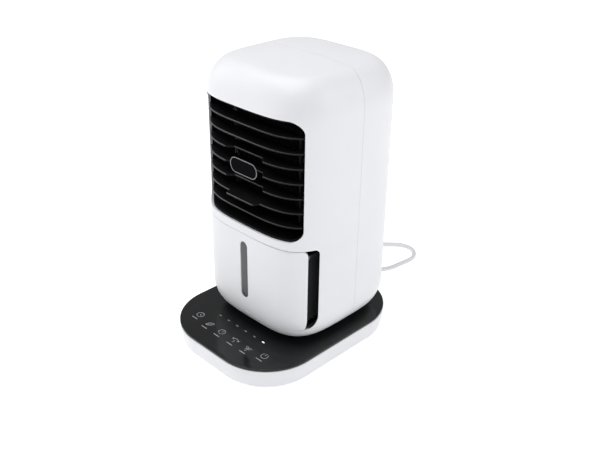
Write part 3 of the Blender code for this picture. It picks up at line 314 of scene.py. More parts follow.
def shell(name, side, seam, openings, cuts, material, node):
    """Half of the clamshell: skins outside and inside, the openings' lips, the floor round the neck and
    the edge that meets the other half. openings are outlines, one in each band between cuts."""
    arc, across, outwards, panes = 9, 46, 13, 7
    corner_height = 9 * MM
    side_angle = math.radians(68 if side < 0 else 66)
    corner = math.radians(52 if side < 0 else 40)
    columns = spread(-side_angle, -corner, corner, side_angle, counts=(arc, across, arc))
    bands = []
    for low, high, up in cuts:
        bands.append(spread(low, low + corner_height, high - corner_height, high, counts=(arc, up, arc)))
    rows = np.concatenate([bands[0]] + [band[1:] for band in bands[1:]])

    def seam_angle(inset):
        """Where the plan's flank, x = half the width, meets the seam's plane."""
        return np.arctan2(1.0, side * seam / (HALF_Y - inset))

    def whole(z, inset):
        """All columns of a band, with the outer ones running on to the seam."""
        z, inset = np.broadcast_arrays(z[:, None], inset[:, None])
        outer = np.linspace(0, 1, outwards)[None, :]
        right = side_angle + (seam_angle(inset) - side_angle) * outer
        middle = np.broadcast_to(columns, (len(z), len(columns)))
        angle = np.concatenate([-right[:, :0:-1], middle, right[:, 1:]], axis=1)
        return on_body(angle, inset, z, side)

    def strip(z, inset):
        """Only the outer columns of a band, at the right and mirrored at the left."""
        outer = np.linspace(0, 1, outwards)[None, :]
        angle = side_angle + (seam_angle(inset[:, None]) - side_angle) * outer
        right = on_body(angle, inset[:, None], z[:, None], side)
        left = right * np.array([-1, 1, 1])
        return [right, left]

    quarter = np.radians(np.linspace(0, 90, 9))
    low_z = BODY_BOTTOM + LOW_RISE * (1 - np.cos(quarter))
    low_z = np.append(low_z[low_z < rows[0] - 1 * MM], rows[0])
    high_z = FILLET_LOW + TOP_RISE * np.sin(np.radians(np.linspace(0, 90, 22)))
    high_z = np.concatenate([[rows[-1]], high_z[high_z > rows[-1] + 1 * MM]])
    patches = []
    for inner in (False, True):
        inset = inner_inset_at if inner else inset_at
        for band, opening in zip(bands, openings):
            border = frame_loop(columns, band)
            patches.append(ring_patch(border, opening, inset, panes, side, 0.0 if inner else lip_of(opening)))
        patches += strip(rows, inset(rows))
        low, high = low_z.copy(), high_z.copy()
        low_inset, high_inset = inset(low), inset_at(high) + (WALL if inner else 0)
        if inner:
            low = np.maximum(low, BODY_BOTTOM + WALL)
            high[1:] -= WALL
            high_inset[0] = inset(high[:1])[0]
        patches.append(whole(low, low_inset))
        patches.append(whole(high, high_inset))
        rim = whole(high[-1:], high_inset[-1:])[0]
        share = np.linspace(0, 1, 25)[:, None, None]
        top = rim * (1 - share) + np.array([0, BODY_Y + seam, high[-1]]) * share
        across_x, across_y = abs(top[..., 0] / HALF_X), abs((top[..., 1] - BODY_Y) / HALF_Y)
        level = (across_x**POWER + across_y**POWER) ** (1 / POWER)
        rise = CROWN * (1 - np.clip(level / level[0].max(), 0, 1) ** 2)
        top[..., 2] = high[-1] + rise
        patches.append(top)
        foot = whole(low[:1], low_inset[:1])[0]
        reach = np.arctan2(foot[:, 0], side * (foot[:, 1] - BODY_Y))
        reach *= np.arccos(side * seam / NECK_RADIUS) / reach.max()
        ring = points_at(NECK_RADIUS * np.sin(reach), BODY_Y + side * NECK_RADIUS * np.cos(reach), low[0])
        patches.append(np.stack([foot, foot * 0.5 + ring * 0.5, ring]))
        edge_line = [patches[-1][::-1, -1], whole(low, low_inset)[1:, -1]]
        edge_line += [strip(rows, inset(rows))[0][1:, -1], whole(high, high_inset)[1:, -1], top[1:, -1]]
        if inner:
            inside_edge = np.concatenate(edge_line)
            inside_ring = ring
        else:
            outside_edge = np.concatenate(edge_line)
            outside_ring = ring
    for mirror in (1, -1):
        patches.append(np.stack([outside_edge, inside_edge]) * np.array([mirror, 1, 1]))
    patches.append(np.stack([outside_ring, inside_ring]))
    for opening in openings:
        patches.append(lip_rows(opening, side))
    return mesh_piece(name, patches, material, "housing", (node,), sharp=32)


# ---- materials


def fill(tree, node, inputs):
    """Sets each input to its value, or links it to another node's output."""
    for name, value in inputs.items():
        if isinstance(value, bpy.types.NodeSocket):
            tree.links.new(value, node.inputs[name])
        else:
            node.inputs[name].default_value = value
    return node


def add_node(tree, kind, inputs, **settings):
    """A shader node with its settings, which come first, and its inputs."""
    node = tree.nodes.new(f"ShaderNode{kind}")
    for name, value in settings.items():
        setattr(node, name, value)
    return fill(tree, node, inputs)


def finish_base(name, colour, roughness, metallic=0.0, coat=0.0, specular=0.5):
    """A Principled surface with an Object-coordinate output ready for its patterns."""
    material = bpy.data.materials.new(name)
    material.use_nodes = True
    tree = material.node_tree
    inputs = {"Base Color": (*colour, 1), "Roughness": roughness, "Metallic": metallic}
    inputs |= {"Coat Weight": coat, "Coat Roughness": 0.05, "Specular IOR Level": specular}
    shader = fill(tree, tree.nodes["Principled BSDF"], inputs)
    return material, tree, shader, add_node(tree, "TexCoord", {}).outputs["Object"]


def noise(tree, place, scale, detail=3.0):
    """Cloudy values around a half, scale of them to a metre."""
    inputs = {"Vector": place, "Scale": scale, "Detail": detail, "Roughness": 0.5}
    return add_node(tree, "TexNoise", inputs).outputs["Fac"]


def bands(tree, place, direction, scale, distortion=0.0):
    """Smooth bands across one axis."""
    inputs = {"Vector": place, "Scale": scale, "Distortion": distortion, "Detail": 2}
    return add_node(tree, "TexWave", inputs, bands_direction=direction).outputs["Fac"]


def between(tree, value, low, high, from_low=0.3, from_high=0.7):
    """A value moved from one range to another, held at its ends."""
    inputs = {"Value": value, "From Min": from_low, "From Max": from_high, "To Min": low, "To Max": high}
    return add_node(tree, "MapRange", inputs).outputs["Result"]


def blend_colours(tree, value, first, second):
    """The first colour at 0 and the second at 1."""
    inputs = {"Factor": value, "A": (*first, 1), "B": (*second, 1)}
    return add_node(tree, "Mix", inputs, data_type="RGBA").outputs["Result"]


def bump(tree, value, depth, strength=1.0):
    """A normal that bends as if the value were a height up to depth."""
    inputs = {"Height": value, "Distance": depth, "Strength": strength}
    return add_node(tree, "Bump", inputs).outputs["Normal"]


def moulded(name, colour, shade, roughness, grain, depth, coat=0.0, specular=0.5):
    """Moulded plastic: slight clouding of colour and gloss, and a spark-eroded grain that bends light."""
    material, tree, shader, place = finish_base(name, colour, roughness, coat=coat, specular=specular)
    cloud, handled = noise(tree, place, 9, 2), noise(tree, place, 34, 4)
    inputs = {"Base Color": blend_colours(tree, between(tree, cloud, 0, 1), colour, shade)}
    inputs["Roughness"] = between(tree, handled, roughness * 0.85, roughness * 1.2)
    inputs["Normal"] = bump(tree, noise(tree, place, grain, 2), depth, 0.5)
    fill(tree, shader, inputs)
    return material


def striped(name, first, second, scale, direction, roughness, depth, metallic=0.0, specular=0.5):
    """Fine bands across one axis, for brushed metal and corrugated paper."""
    material, tree, shader, place = finish_base(name, first, roughness, metallic, specular=specular)
    wave, cloud = bands(tree, place, direction, scale, 1.2), noise(tree, place, 60, 3)
    inputs = {"Base Color": blend_colours(tree, wave, first, second), "Normal": bump(tree, wave, depth, 0.6)}
    inputs["Roughness"] = between(tree, cloud, roughness * 0.8, roughness * 1.25)
    fill(tree, shader, inputs)
    return material


def woven_mesh(name, dark, light, pitch):
    """Two sets of threads at right angles: bands across X and bands across Z, the larger one on top."""
    material, tree, shader, place = finish_base(name, dark, 0.6)
    top = add_node(tree, "Math", {}, operation="MAXIMUM")
    for socket, direction in zip(top.inputs, ("X", "Z")):
        tree.links.new(bands(tree, place, direction, 0.314 / pitch), socket)
    thread = top.outputs[0]
    colour = blend_colours(tree, between(tree, thread, 0, 1, 0.5, 0.9), dark, light)
    fill(tree, shader, {"Base Color": colour, "Normal": bump(tree, thread, 0.3 * MM)})
    return material


def painted_highlight_fade(name, first, second, start, stop):
    """Satin plastic carrying a painted highlight: its colour passes from the bright first to the dim second
    between two places along X, a painted fade of the light.
    """
    material, tree, shader, place = finish_base(name, first, 0.4, specular=0.3)
    across = add_node(tree, "SeparateXYZ", {"Vector": place}).outputs["X"]
    colour = blend_colours(tree, between(tree, across, 0, 1, start, stop), first, second)
    grain = bump(tree, noise(tree, place, 2400, 2), 0.01 * MM, 0.5)
    fill(tree, shader, {"Base Color": colour, "Normal": grain})
    return material


def circuit(name):
    """Green lacquer over copper tracks, which a brick pattern lays out, with solder-bright flecks."""
    green = (0.01, 0.09, 0.03, 1)
    material, tree, shader, place = finish_base(name, green[:3], 0.35, coat=0.3)
    inputs = {"Vector": place, "Scale": 120, "Color1": green, "Color2": (0.012, 0.12, 0.04, 1)}
    inputs |= {"Mortar": (0.03, 0.2, 0.07, 1), "Mortar Size": 0.02}
    brick = add_node(tree, "TexBrick", inputs).outputs
    fill(tree, shader, {"Base Color": brick["Color"], "Normal": bump(tree, brick["Fac"], 0.05 * MM)})
    return material


WHITE = moulded("satin_white_abs", (0.80, 0.805, 0.83), (0.775, 0.78, 0.805), 0.36, 2600, 0.02 * MM)
BASE_WHITE = moulded("base_white_abs", (0.80, 0.805, 0.83), (0.775, 0.78, 0.805), 0.34, 2600, 0.02 * MM)
PIANO = moulded(
    "piano_black", (0.006, 0.0065, 0.007), (0.008, 0.0085, 0.009), 0.14, 700, 0.004 * MM, specular=0.35
)
SLAT = moulded(
    "slat_black", (0.006, 0.006, 0.0065), (0.009, 0.009, 0.01), 0.4, 2400, 0.01 * MM, specular=0.1
)
# Painted highlight: light grey on the slats' front edges stands in for light on their rounded noses, dimming
# towards the right
EDGE_HIGHLIGHT = painted_highlight_fade("slat_edge_painted_highlight", (0.17, 0.172, 0.178), (0.03, 0.03, 0.032), -5 * MM, 66 * MM)
FIELD = moulded(
    "badge_black", (0.005, 0.005, 0.0055), (0.007, 0.007, 0.0075), 0.5, 900, 0.004 * MM, specular=0.0
)
INNER_BLACK = moulded(
    "inner_black", (0.008, 0.008, 0.009), (0.012, 0.012, 0.013), 0.5, 1800, 0.03 * MM, specular=0.1
)
SMOKED = moulded(
    "smoked_clear", (0.018, 0.018, 0.02), (0.026, 0.026, 0.029), 0.16, 900, 0.01 * MM, coat=0.4
)
WINDOW = moulded(
    "window_grey", (0.05, 0.052, 0.054), (0.062, 0.064, 0.066), 0.3, 900, 0.01 * MM, coat=0.1
)
RIM_GREY = moulded("rim_grey", (0.24, 0.245, 0.255), (0.2, 0.205, 0.212), 0.3, 1500, 0.01 * MM)
RUBBER = moulded(
    "foot_rubber", (0.012, 0.012, 0.012), (0.02, 0.02, 0.02), 0.75, 1400, 0.06 * MM, specular=0.25
)
NYLON = moulded("natural_nylon", (0.66, 0.65, 0.6), (0.6, 0.59, 0.54), 0.42, 1600, 0.02 * MM)
FLEX = moulded("cord_pvc", (0.74, 0.745, 0.76), (0.7, 0.705, 0.72), 0.45, 1200, 0.02 * MM)
PRINT = moulded("printed_grey", (0.42, 0.43, 0.44), (0.38, 0.39, 0.4), 0.5, 1500, 0.002 * MM)
DIM_LENS = moulded("lamp_lens_dim", (0.24, 0.243, 0.248), (0.26, 0.263, 0.268), 0.3, 1500, 0.002 * MM)
STEEL = striped("drawn_steel", (0.5, 0.5, 0.51), (0.42, 0.42, 0.43), 900, "Z", 0.3, 0.004 * MM, 1.0)
CAN_STEEL = striped(
    "motor_can_steel", (0.42, 0.42, 0.43), (0.34, 0.34, 0.35), 500, "X", 0.35, 0.004 * MM, 1.0
)
# Painted shade: the pad's paper is near-black to stand in for the shade deep inside the outlet behind the
# louvres
PAD_PAINTED_SHADE = striped(
    "pad_paper", (0.006, 0.006, 0.0065), (0.003, 0.003, 0.0033), 90, "Z", 0.85, 0.3 * MM, specular=0.05
)
FILTER = woven_mesh("filter_mesh", (0.004, 0.004, 0.004), (0.03, 0.03, 0.032), 1.2 * MM)
BOARD = circuit("circuit_board")
LAMP = moulded("lamp_lens_lit", (0.85, 0.87, 0.9), (0.8, 0.82, 0.85), 0.3, 1500, 0.002 * MM)
LIT = {"Emission Color": (0.9, 0.95, 1, 1), "Emission Strength": 1.0}
fill(LAMP.node_tree, LAMP.node_tree.nodes["Principled BSDF"], LIT)


# ---- camera and light


def camera():
    """Above the front right corner, with a slight roll."""
    azimuth, elevation, roll = math.radians(44.62), math.radians(27.94), math.radians(0.844)
    aside, distance, target_height = 18.2 * MM, 898 * MM, 137.3 * MM
    level = math.cos(elevation)
    back = Vector((math.sin(azimuth) * level, -math.cos(azimuth) * level, math.sin(elevation)))
    right = Vector((math.cos(azimuth), math.sin(azimuth), 0))
    up = back.cross(right)
    target = right * aside + Vector((0, 0, target_height))
    place = target + back * distance
    rolled = right * math.cos(roll) + up * math.sin(roll)
    raised = up * math.cos(roll) - right * math.sin(roll)
    matrix = Matrix((rolled, raised, back)).transposed().to_4x4()
    matrix.translation = place
    data = bpy.data.cameras.new("viewer")
    data.lens = 47.9
    data.sensor_width = 36
    data.clip_start = 0.01
    made = bpy.data.objects.new("viewer", data)
    made.matrix_world = matrix
    bpy.context.scene.collection.objects.link(made)
    bpy.context.scene.camera = made


def panel_light(name, place, aim, size, power):
    """A white square lamp that faces a point."""
    data = bpy.data.lights.new(name, "AREA")
    data.shape = "SQUARE"
    data.size = size
    data.energy = power
    made = bpy.data.objects.new(name, data)
    made.location = place
    made.rotation_euler = (Vector(place) - Vector(aim)).to_track_quat("Z", "Y").to_euler()
    bpy.context.scene.collection.objects.link(made)


def studio():
    """A pale floor, one wide soft light overhead and two at the sides."""
    world = bpy.data.worlds.new("studio")
    world.use_nodes = True
    sky = {"Color": (0.985, 0.98, 1, 1), "Strength": 0.4}
    fill(world.node_tree, world.node_tree.nodes["Background"], sky)
    bpy.context.scene.world = world
    bpy.context.scene.view_settings.view_transform = "Standard"
    panel_light("overhead", (-0.2, -0.3, 1.5), (0, 0, 0.2), 1.4, 15.5)
    panel_light("left", (-1.6, -0.7, 0.8), (0, 0, 0.15), 0.9, 4)
    panel_light("right", (1.3, 0.8, 0.7), (0, 0, 0.15), 0.8, 5)

    mesh = bpy.data.meshes.new("floor")
    reach = 6
    corners = [(-reach, -reach, 0), (reach, -reach, 0), (reach, reach, 0), (-reach, reach, 0)]
    mesh.from_pydata(corners, [], [(0, 1, 2, 3)])
    made = bpy.data.objects.new("floor", mesh)
    bpy.context.scene.collection.objects.link(made)
    pale, shade = (0.93, 0.93, 0.93), (0.925, 0.925, 0.925)
    material, tree, shader, place = finish_base("pale_paper", pale, 0.9, specular=0.1)
    tint = blend_colours(tree, between(tree, noise(tree, place, 2.0), 0, 1), pale, shade)
    away = add_node(tree, "VectorMath", {}, operation="LENGTH")
    tree.links.new(place, away.inputs[0])
    near, far, near_glow, far_glow = 0.35, 0.9, 0.38, 0.7
    glow = between(tree, away.outputs["Value"], near_glow, far_glow, near, far)
    fill(tree, shader, {"Base Color": tint, "Emission Color": (1, 1, 1, 1), "Emission Strength": glow})
    mesh.materials.append(material)


# ---- cord

COIL_X, COIL_Y, COIL_RADIUS = -73.4 * MM, 154.2 * MM, 36.6 * MM
PLUG_X, PLUG_Z = COIL_X - COIL_RADIUS, 6.9 * MM
# In millimetres, from the gland to the coil
CORD_ROUTE = (
    (0, 142.3, 12), (0.6, 150, 11.6), (2.2, 160, 10.6), (4.2, 170, 8.9),
    (5.9, 180, 6.6), (7.1, 190, 4.4), (7.9, 200, 3.2), (9, 212, 2.9),
    (10.4, 224, 2.9), (10.2, 237, 2.9), (4.2, 249, 2.9), (-7, 256.3, 2.9),
    (-20.5, 255.6, 2.9), (-32.5, 247, 2.9), (-46, 233.5, 2.9), (-60, 219.5, 2.9),
    (-74, 205.5, 2.9), (-84.5, 195, 2.9),
)


def coil_path():
    """Three turns inwards on the surface and two and a bit outwards on top of them. The radius steps by a
    cord's diameter once a turn, and the height by one where the third turn climbs."""
    angle = np.linspace(135, 1980, 420)
    inwards = ease(angle, 435, 495) + ease(angle, 795, 855)
    outwards = ease(angle, 1380, 1440) + ease(angle, 1740, 1800)
    step, lowest = 2 * CORD_RADIUS, 2.9 * MM
    radius = COIL_RADIUS + step * (outwards - inwards)
    height = lowest + step * ease(angle, 1095, 1178)
    turn = np.radians(angle)
    return np.stack([COIL_X + radius * np.cos(turn), COIL_Y + radius * np.sin(turn), height], axis=-1)


def plug():
    """A flat two-pin plug lying on its side: a waisted body with rounded edges, whose half width is a smooth
    function of the distance along it, a ribbed neck and two round pins with metal ends."""
    along = np.linspace(0, 1, 40)
    rear, length = 99 * MM, 34 * MM
    half = (6 + 11.5 * ease(along, 0.0, 0.62) - 0.5 * ease(along, 0.86, 1.0)) * MM
    thick = (5.2 + 1.55 * ease(along, 0, 0.25)) * MM
    shrink = np.sqrt(np.clip(1 - np.clip((along - 0.93) / 0.07, 0, 1) ** 2 * 0.35, 0, 1))
    angle = np.linspace(0, 2 * math.pi, 49)[None, :]
    power = 2 / 3.6
    ring_x = np.sign(np.cos(angle)) * abs(np.cos(angle)) ** power
    ring_z = np.sign(np.sin(angle)) * abs(np.sin(angle)) ** power
    y = (rear - along * length)[:, None] + 0 * angle
    half, thick = (half * shrink)[:, None], (thick * shrink)[:, None]
    body = points_at(PLUG_X + half * ring_x, y, PLUG_Z + thick * ring_z)
    patches = [np.concatenate([pole(body[0]), body, pole(body[-1])])]
    neck = [(0, 114), (3.4, 114)]
    for step in range(5):
        top = 113 - 2.8 * step
        radius = 3.5 + 0.32 * step
        neck += [(radius + 0.5, top), (radius + 0.5, top - 1.4), (radius, top - 1.7), (radius, top - 2.5)]
    neck += [(5.1, 98.6), (0, 98.6)]
    patches.append(turned(np.array(neck) * MM, (PLUG_X, 0, PLUG_Z), "Y", 24))
    made = mesh_piece("plug_body", patches, FLEX, "base", ("plug",))
    sleeves, tips = [], []
    for side in (-1, 1):
        centre = (PLUG_X + side * 9.25 * MM, 0, PLUG_Z)
        sleeve = np.array([(0, 66), (2.1, 66), (2.1, 56), (1.9, 55.8), (0, 55.8)]) * MM
        sleeves.append(turned(sleeve, centre, "Y", 20))
        tip = np.array([(0, 56), (2, 56), (2, 47.8), (1.6, 46.6), (0, 46.2)]) * MM
        tips.append(turned(tip, centre, "Y", 20))
    pins = mesh_piece("plug_pins", tips, STEEL, "base")
    covers = mesh_piece("plug_pin_sleeves", sleeves, INNER_BLACK, "base")
    return made, pins, covers


def cord():
    """Cord, coil and tail as one tube, and the ribbed strain relief that it leaves by."""
    route = curve_through(np.array(CORD_ROUTE) * MM, 3.4 * MM)
    coil = coil_path()
    falling = ((0.1465, 0.0085), (0.139, 0.0084), (0.131, 0.0078), (0.1235, 0.0072), (0.1145, 0.0069))
    tail = curve_through(np.array([coil[-1]] + [(PLUG_X, y, z) for y, z in falling]), 3.4 * MM)
    straight = np.linspace(route[-1], coil[0], 9)[1:-1]
    whole = np.concatenate([route, straight, coil, tail[1:]])
    path = curve_through(whole[::2], 3.2 * MM)
    nodes = ("cord_tube", "cord_coil", "cord_tail")
    cable = mesh_piece("mains_cord", [swept(path, CORD_RADIUS, 12)], FLEX, "base", nodes, 60)
    relief = [(0, 141.9), (3.3, 141.9), (3.6, 141.5)]
    for step in range(6):
        start = 140.6 - 3.3 * step
        radius = 3.5 + 0.26 * step
        groove, rib = radius - 0.35, radius + 0.25
        relief += [(groove, start), (rib, start - 0.5), (rib, start - 2.1), (groove, start - 2.6)]
    relief += [(5.2, 120.4), (6, 119.2), (6, 116.4), (0, 116.4)]
    boot = turned(np.array(relief) * MM, (0, 0, 12 * MM), "Y", 32)
    gland = mesh_piece("strain_relief", [boot], FLEX, "base", ("cord_gland",), 50)
    wrap = np.linspace(0, 2 * math.pi, 41)
    loop = np.stack([9.4 * MM * np.cos(wrap), 0 * wrap, 5.15 * MM * np.sin(wrap)], axis=-1)
    loop += np.array([COIL_X + 31 * MM, COIL_Y, 5.8 * MM])
    tie = mesh_piece("coil_tie", [swept(loop, 0.55 * MM, 8, capped=False)], INNER_BLACK, "base", sharp=60)
    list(plug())


# ---- base

BASE_HALF_X, BASE_HALF_Y, BASE_CORNER = 91.5 * MM, 116 * MM, 64 * MM


def base_loop(inset):
    """The base's outline, drawn in by inset."""
    corner = max(BASE_CORNER - inset, 0.5 * MM)
    half_x, half_y = BASE_HALF_X - inset, BASE_HALF_Y - inset
    return round_loop(half_x, -half_y, half_y, corner, corner, 14, 12, 16)[:2]


def base_ring(inset, z):
    """The base's outline as points at a height."""
    return points_at(*base_loop(inset), z)


def base_tray():
    """Outlines that draw in towards the foot by the taper times (1 - height)^1.6, with rounded edges."""
    low, top, edge, floor = 1.2 * MM, TRAY_TOP, 4 * MM, 4.4 * MM
    foot_round, rim_round = 1.5 * MM, 0.5 * MM
    rows = [base_ring(TRAY_TAPER + edge, low) * np.array([k, k, 1]) for k in (0, 0.5, 0.97, 1)]
    for turn in np.radians([30, 60, 90]):
        across, up = edge * (1 - math.sin(turn)), foot_round * (1 - math.cos(turn))
        rows.append(base_ring(TRAY_TAPER + across, low + up))
    for share in np.linspace(0.06, 0.985, 14):
        up = low + foot_round + share * (top - low - foot_round)
        rows.append(base_ring(TRAY_TAPER * (1 - share) ** 1.6, up))
    for to_go, drawn_in in rounding(rim_round, 0, 30, 60, 90):
        rows.append(base_ring(drawn_in, top - to_go))
    rows.append(base_ring(WALL, top))
    for share in np.linspace(0.95, 0, 8):
        rows.append(base_ring(WALL + TRAY_TAPER * (1 - share) ** 1.6, floor + share * (top - floor)))
    rows += [base_ring(WALL + TRAY_TAPER, floor) * np.array([k, k, 1]) for k in (0.97, 0.5, 0)]
    tray = close(np.stack(rows))
    mesh_piece("base_tray_shell", [tray], BASE_WHITE, "base", ("base_tray",), 40)


def base_cover():
    """A plate with rounded edges, and a round hole for the neck: rows run from its rim to the hole."""
    low, top, edge = COVER_LOW, COVER_TOP, 0.8 * MM
    u, v = base_loop(0)
    angle = np.arctan2(v - BODY_Y, u)
    hole = np.stack([COVER_HOLE * np.cos(angle), BODY_Y + COVER_HOLE * np.sin(angle)], axis=-1)

    def towards_hole(share, z):
        rim = base_ring(edge, z)
        rim[:, :2] = rim[:, :2] * (1 - share) + hole * share
        return rim

    rows = [towards_hole(share, low) for share in np.linspace(0, 0.9, 7)[::-1]]
    rows += [base_ring(drawn_in, low + to_go) for to_go, drawn_in in rounding(edge, 90, 60, 30, 0)]
    rows += [base_ring(drawn_in, top - to_go) for to_go, drawn_in in rounding(edge, 0, 20, 40, 60, 75, 90)]
    rows += [towards_hole(share, top) for share in np.linspace(0.04, 1, 14)]
    rows += [towards_hole(1, low), rows[0]]
    mesh_piece("touch_cover", [close(np.stack(rows))], PIANO, "base", ("base_cover",), 40)


def ribbon(points, width, z, closed=False):
    """A flat band of even width that follows a line: each point moves to both sides by half the width."""
    line = np.asarray(points, float) * MM
    if closed:
        along = np.roll(line, -1, axis=0) - np.roll(line, 1, axis=0)
    else:
        along = np.gradient(line, axis=0)
    along /= np.linalg.norm(along, axis=1, keepdims=True)
    side = np.stack([-along[:, 1], along[:, 0]], axis=-1) * width / 2
    grid = np.stack([line + side, line - side])
    if closed:
        grid = np.concatenate([grid, grid[:, :1]], axis=1)
    return np.concatenate([grid, np.full((*grid.shape[:2], 1), z)], axis=-1)


def arc_line(radius, first, last, steps):
    """Points of an arc about the origin, at even steps of its angle in degrees."""
    angle = np.radians(np.linspace(first, last, steps + 1))
    return np.stack([radius * np.cos(angle), radius * np.sin(angle)], axis=-1)


def touch_marks():
    """Plain symbols printed on the cover, each from a few strokes: a clock, a leaf, a dial, a swing arc,
    a fan and a power ring, with a short bar before each and a row of small lamps behind them. Strokes are
    in millimetres from the symbol's middle."""
    z = COVER_TOP + 0.03 * MM
    pen, bar, enlarged = 0.6 * MM, 0.9 * MM, 1.2
    strokes = []

    def draw(points, closed=False, width=pen):
        strokes.append(ribbon(np.array(middle) + enlarged * np.asarray(points), width, z, closed))

    middle = (-55.0, -81.5)
    draw(arc_line(3.6, 0, 342, 28), True)
    draw([(0, 2.3), (0, 0)])
    draw([(0, 0), (1.7, -1.0)])
    middle = (-32.5, -85.7)
    share = np.linspace(0, 1, 14)[:, None]
    for side in (-1, 1):
        bulge = side * 1.9 * np.sin(math.pi * share) * np.array([[-0.707, 0.707]])
        draw((2 * share - 1) * [3.2, 3.2] + bulge)
    draw([(-3.2, -3.2), (1.4, 1.4)])
    middle = (-11.2, -85.7)
    draw(arc_line(3.4, -50, 230, 24))
    draw([(0, 0), (1.6, 1.8)])
    draw([(-1.2, -3.0), (1.2, -3.0)])
    middle = (11.2, -85.7)
    draw(arc_line(5.0, 35, 145, 20) - [0, 2.4])
    for side in (-1, 1):
        draw(np.array([(2.1, 0.37), (4.1, 0.47), (4.25, 2.47)]) * [side, 1])
    draw([(0, -3.4), (0, -0.2)])
    middle = (32.5, -85.7)
    for number in range(3):
        turn = math.radians(120 * number + 20)
        bend = arc_line(1.0, 0, 300, 16) * [1.75, 1.05] + [2.1, 0]
        draw(bend @ [[math.cos(turn), math.sin(turn)], [-math.sin(turn), math.cos(turn)]])
    draw(arc_line(0.5, 0, 330, 12), True)
    middle = (55.0, -81.5)
    draw(arc_line(3.4, 125, 415, 26))
    draw([(0, 3.9), (0, 0.6)])
    for middle in ((-55.0, -90), (-32.5, -94.2), (-11.2, -94.2), (11.2, -94.2), (32.5, -94.2), (55.0, -90)):
        draw([(-3.7, 0), (3.7, 0)], False, bar)
    mesh_piece("touch_symbols", strokes, PRINT, "base", faceted=True)

    lamps = {"lamp_row": [], "lamp_lit": []}
    for place in (-37.5, -23, -8.3, 6.3, 21, 35.5):
        u, v, _, _ = round_loop(1.9 * MM, -66.2 * MM, -64.8 * MM, 0.65 * MM, 0.65 * MM, 3, 3, 2, place * MM)
        loop = points_at(u, v, z)
        middle = np.array([place * MM, -65.5 * MM, z])
        patch = close(np.stack([loop * 0 + middle, loop]))
        lamps["lamp_lit" if place > 35 else "lamp_row"].append(patch)
    mesh_piece("lamp_row", lamps["lamp_row"], DIM_LENS, "base", faceted=True)
    mesh_piece("lamp_lit", lamps["lamp_lit"], LAMP, "base", faceted=True)


# ---- housing

BADGE_LOUVRE, TAB_LOUVRE = 4, 6

# Outlines: half width, foot, head, and the corners' radii at foot and head
OUTLET = (72.8 * MM, 158.5 * MM, 290 * MM, 13.5 * MM, 13.5 * MM)
INTAKE = (52 * MM, 165 * MM, 285 * MM, 8 * MM, 8 * MM)
TANK_MOUTH = (80.4 * MM, 49.6 * MM, 148.8 * MM, (7 * MM, 16 * MM), (1.8 * MM, 6 * MM))
TANK_FACE = (76 * MM, 49.95 * MM, 148.3 * MM, (3.6 * MM, 15.5 * MM), (3.5 * MM, 7 * MM))
WINDOW_HALF, WINDOW_LOW, WINDOW_HIGH = 5.5 * MM, 68 * MM, 138.5 * MM
WINDOW_SLOT = (WINDOW_HALF, WINDOW_LOW, WINDOW_HIGH, 5.4 * MM, 5.4 * MM)


def loop_inside(opening, inset, counts):
    """An opening's outline drawn in by inset, with corners of at least 0.4 mm."""
    half, low, high, *radii = opening
    radii = [max(radius - inset, 0.4 * MM) for radius in radii]
    return round_loop(half - inset, low + inset, high - inset, *radii, *counts)


def housing():
    """Front half with the tank's opening and the outlet, rear half with the intake."""
    tank_mouth = round_loop(*TANK_MOUTH, 9, 46, 26)
    outlet = round_loop(*OUTLET, 9, 46, 36)
    cuts = ((43 * MM, 153.6 * MM, 26), (153.6 * MM, 300 * MM, 36))
    shell("front_housing", -1, SEAM, (tank_mouth, outlet), cuts, WHITE, "front_shell")
    intake = round_loop(*INTAKE, 9, 46, 30)
    shell("rear_housing", 1, SEAM + 0.3 * MM, (intake,), ((60 * MM, 300 * MM, 30),), WHITE, "rear_shell")


def tank_panel():
    """The drawer's face: the housing's own surface between the panel's outline and the window's slot, with
    rounded edges and an inner skin a wall's thickness behind."""
    counts = (9, 40, 24)
    outline = round_loop(*TANK_FACE, *counts)
    slot = round_loop(*WINDOW_SLOT, *counts)
    lip, slot_lip = lip_of(outline), 0.5 * MM
    patches = []
    for inner in (False, True):
        inset = inner_inset_at if inner else inset_at
        step_in, step_out = (0, 0) if inner else (lip, slot_lip)
        u, v = outline[0] - outline[2] * step_in, outline[1] - outline[3] * step_in
        u = angle_at(u, inset_at(v))
        sx, sz = slot[0] + slot[2] * step_out, slot[1] + slot[3] * step_out
        target = angle_at(sx, inset(sz))
        share = np.linspace(0, 1, 27)[:, None]
        angle, height = u * (1 - share) + target * share, v * (1 - share) + sz * share
        patches.append(close(on_body(angle, inset(height), height)))
    edge = []
    for back, deep in rounding(lip, 0, 18, 36, 54, 72, 90):
        x, z = outline[0] - outline[2] * back, outline[1] - outline[3] * back
        edge.append(on_body(angle_at(x, inset_at(z)), inset_at(z) + deep, z))
    x, z = outline[:2]
    edge.append(on_body(angle_at(x, inset_at(z)), inner_inset_at(z), z))
    patches.append(close(np.stack(edge[::-1])))
    x, z, normal_x, normal_z = slot
    inside = []
    for out, deep in rounding(slot_lip, 0, 30, 60, 90):
        row = face_point(x + normal_x * out, z + normal_z * out, inset_at(z))
        row[:, 1] += deep
        inside.append(row)
    inside.append(face_point(x, z, inner_inset_at(z)))
    patches.append(close(np.stack(inside)))
    mesh_piece("tank_panel", patches, WHITE, "tank", ("tank_front",), 34)


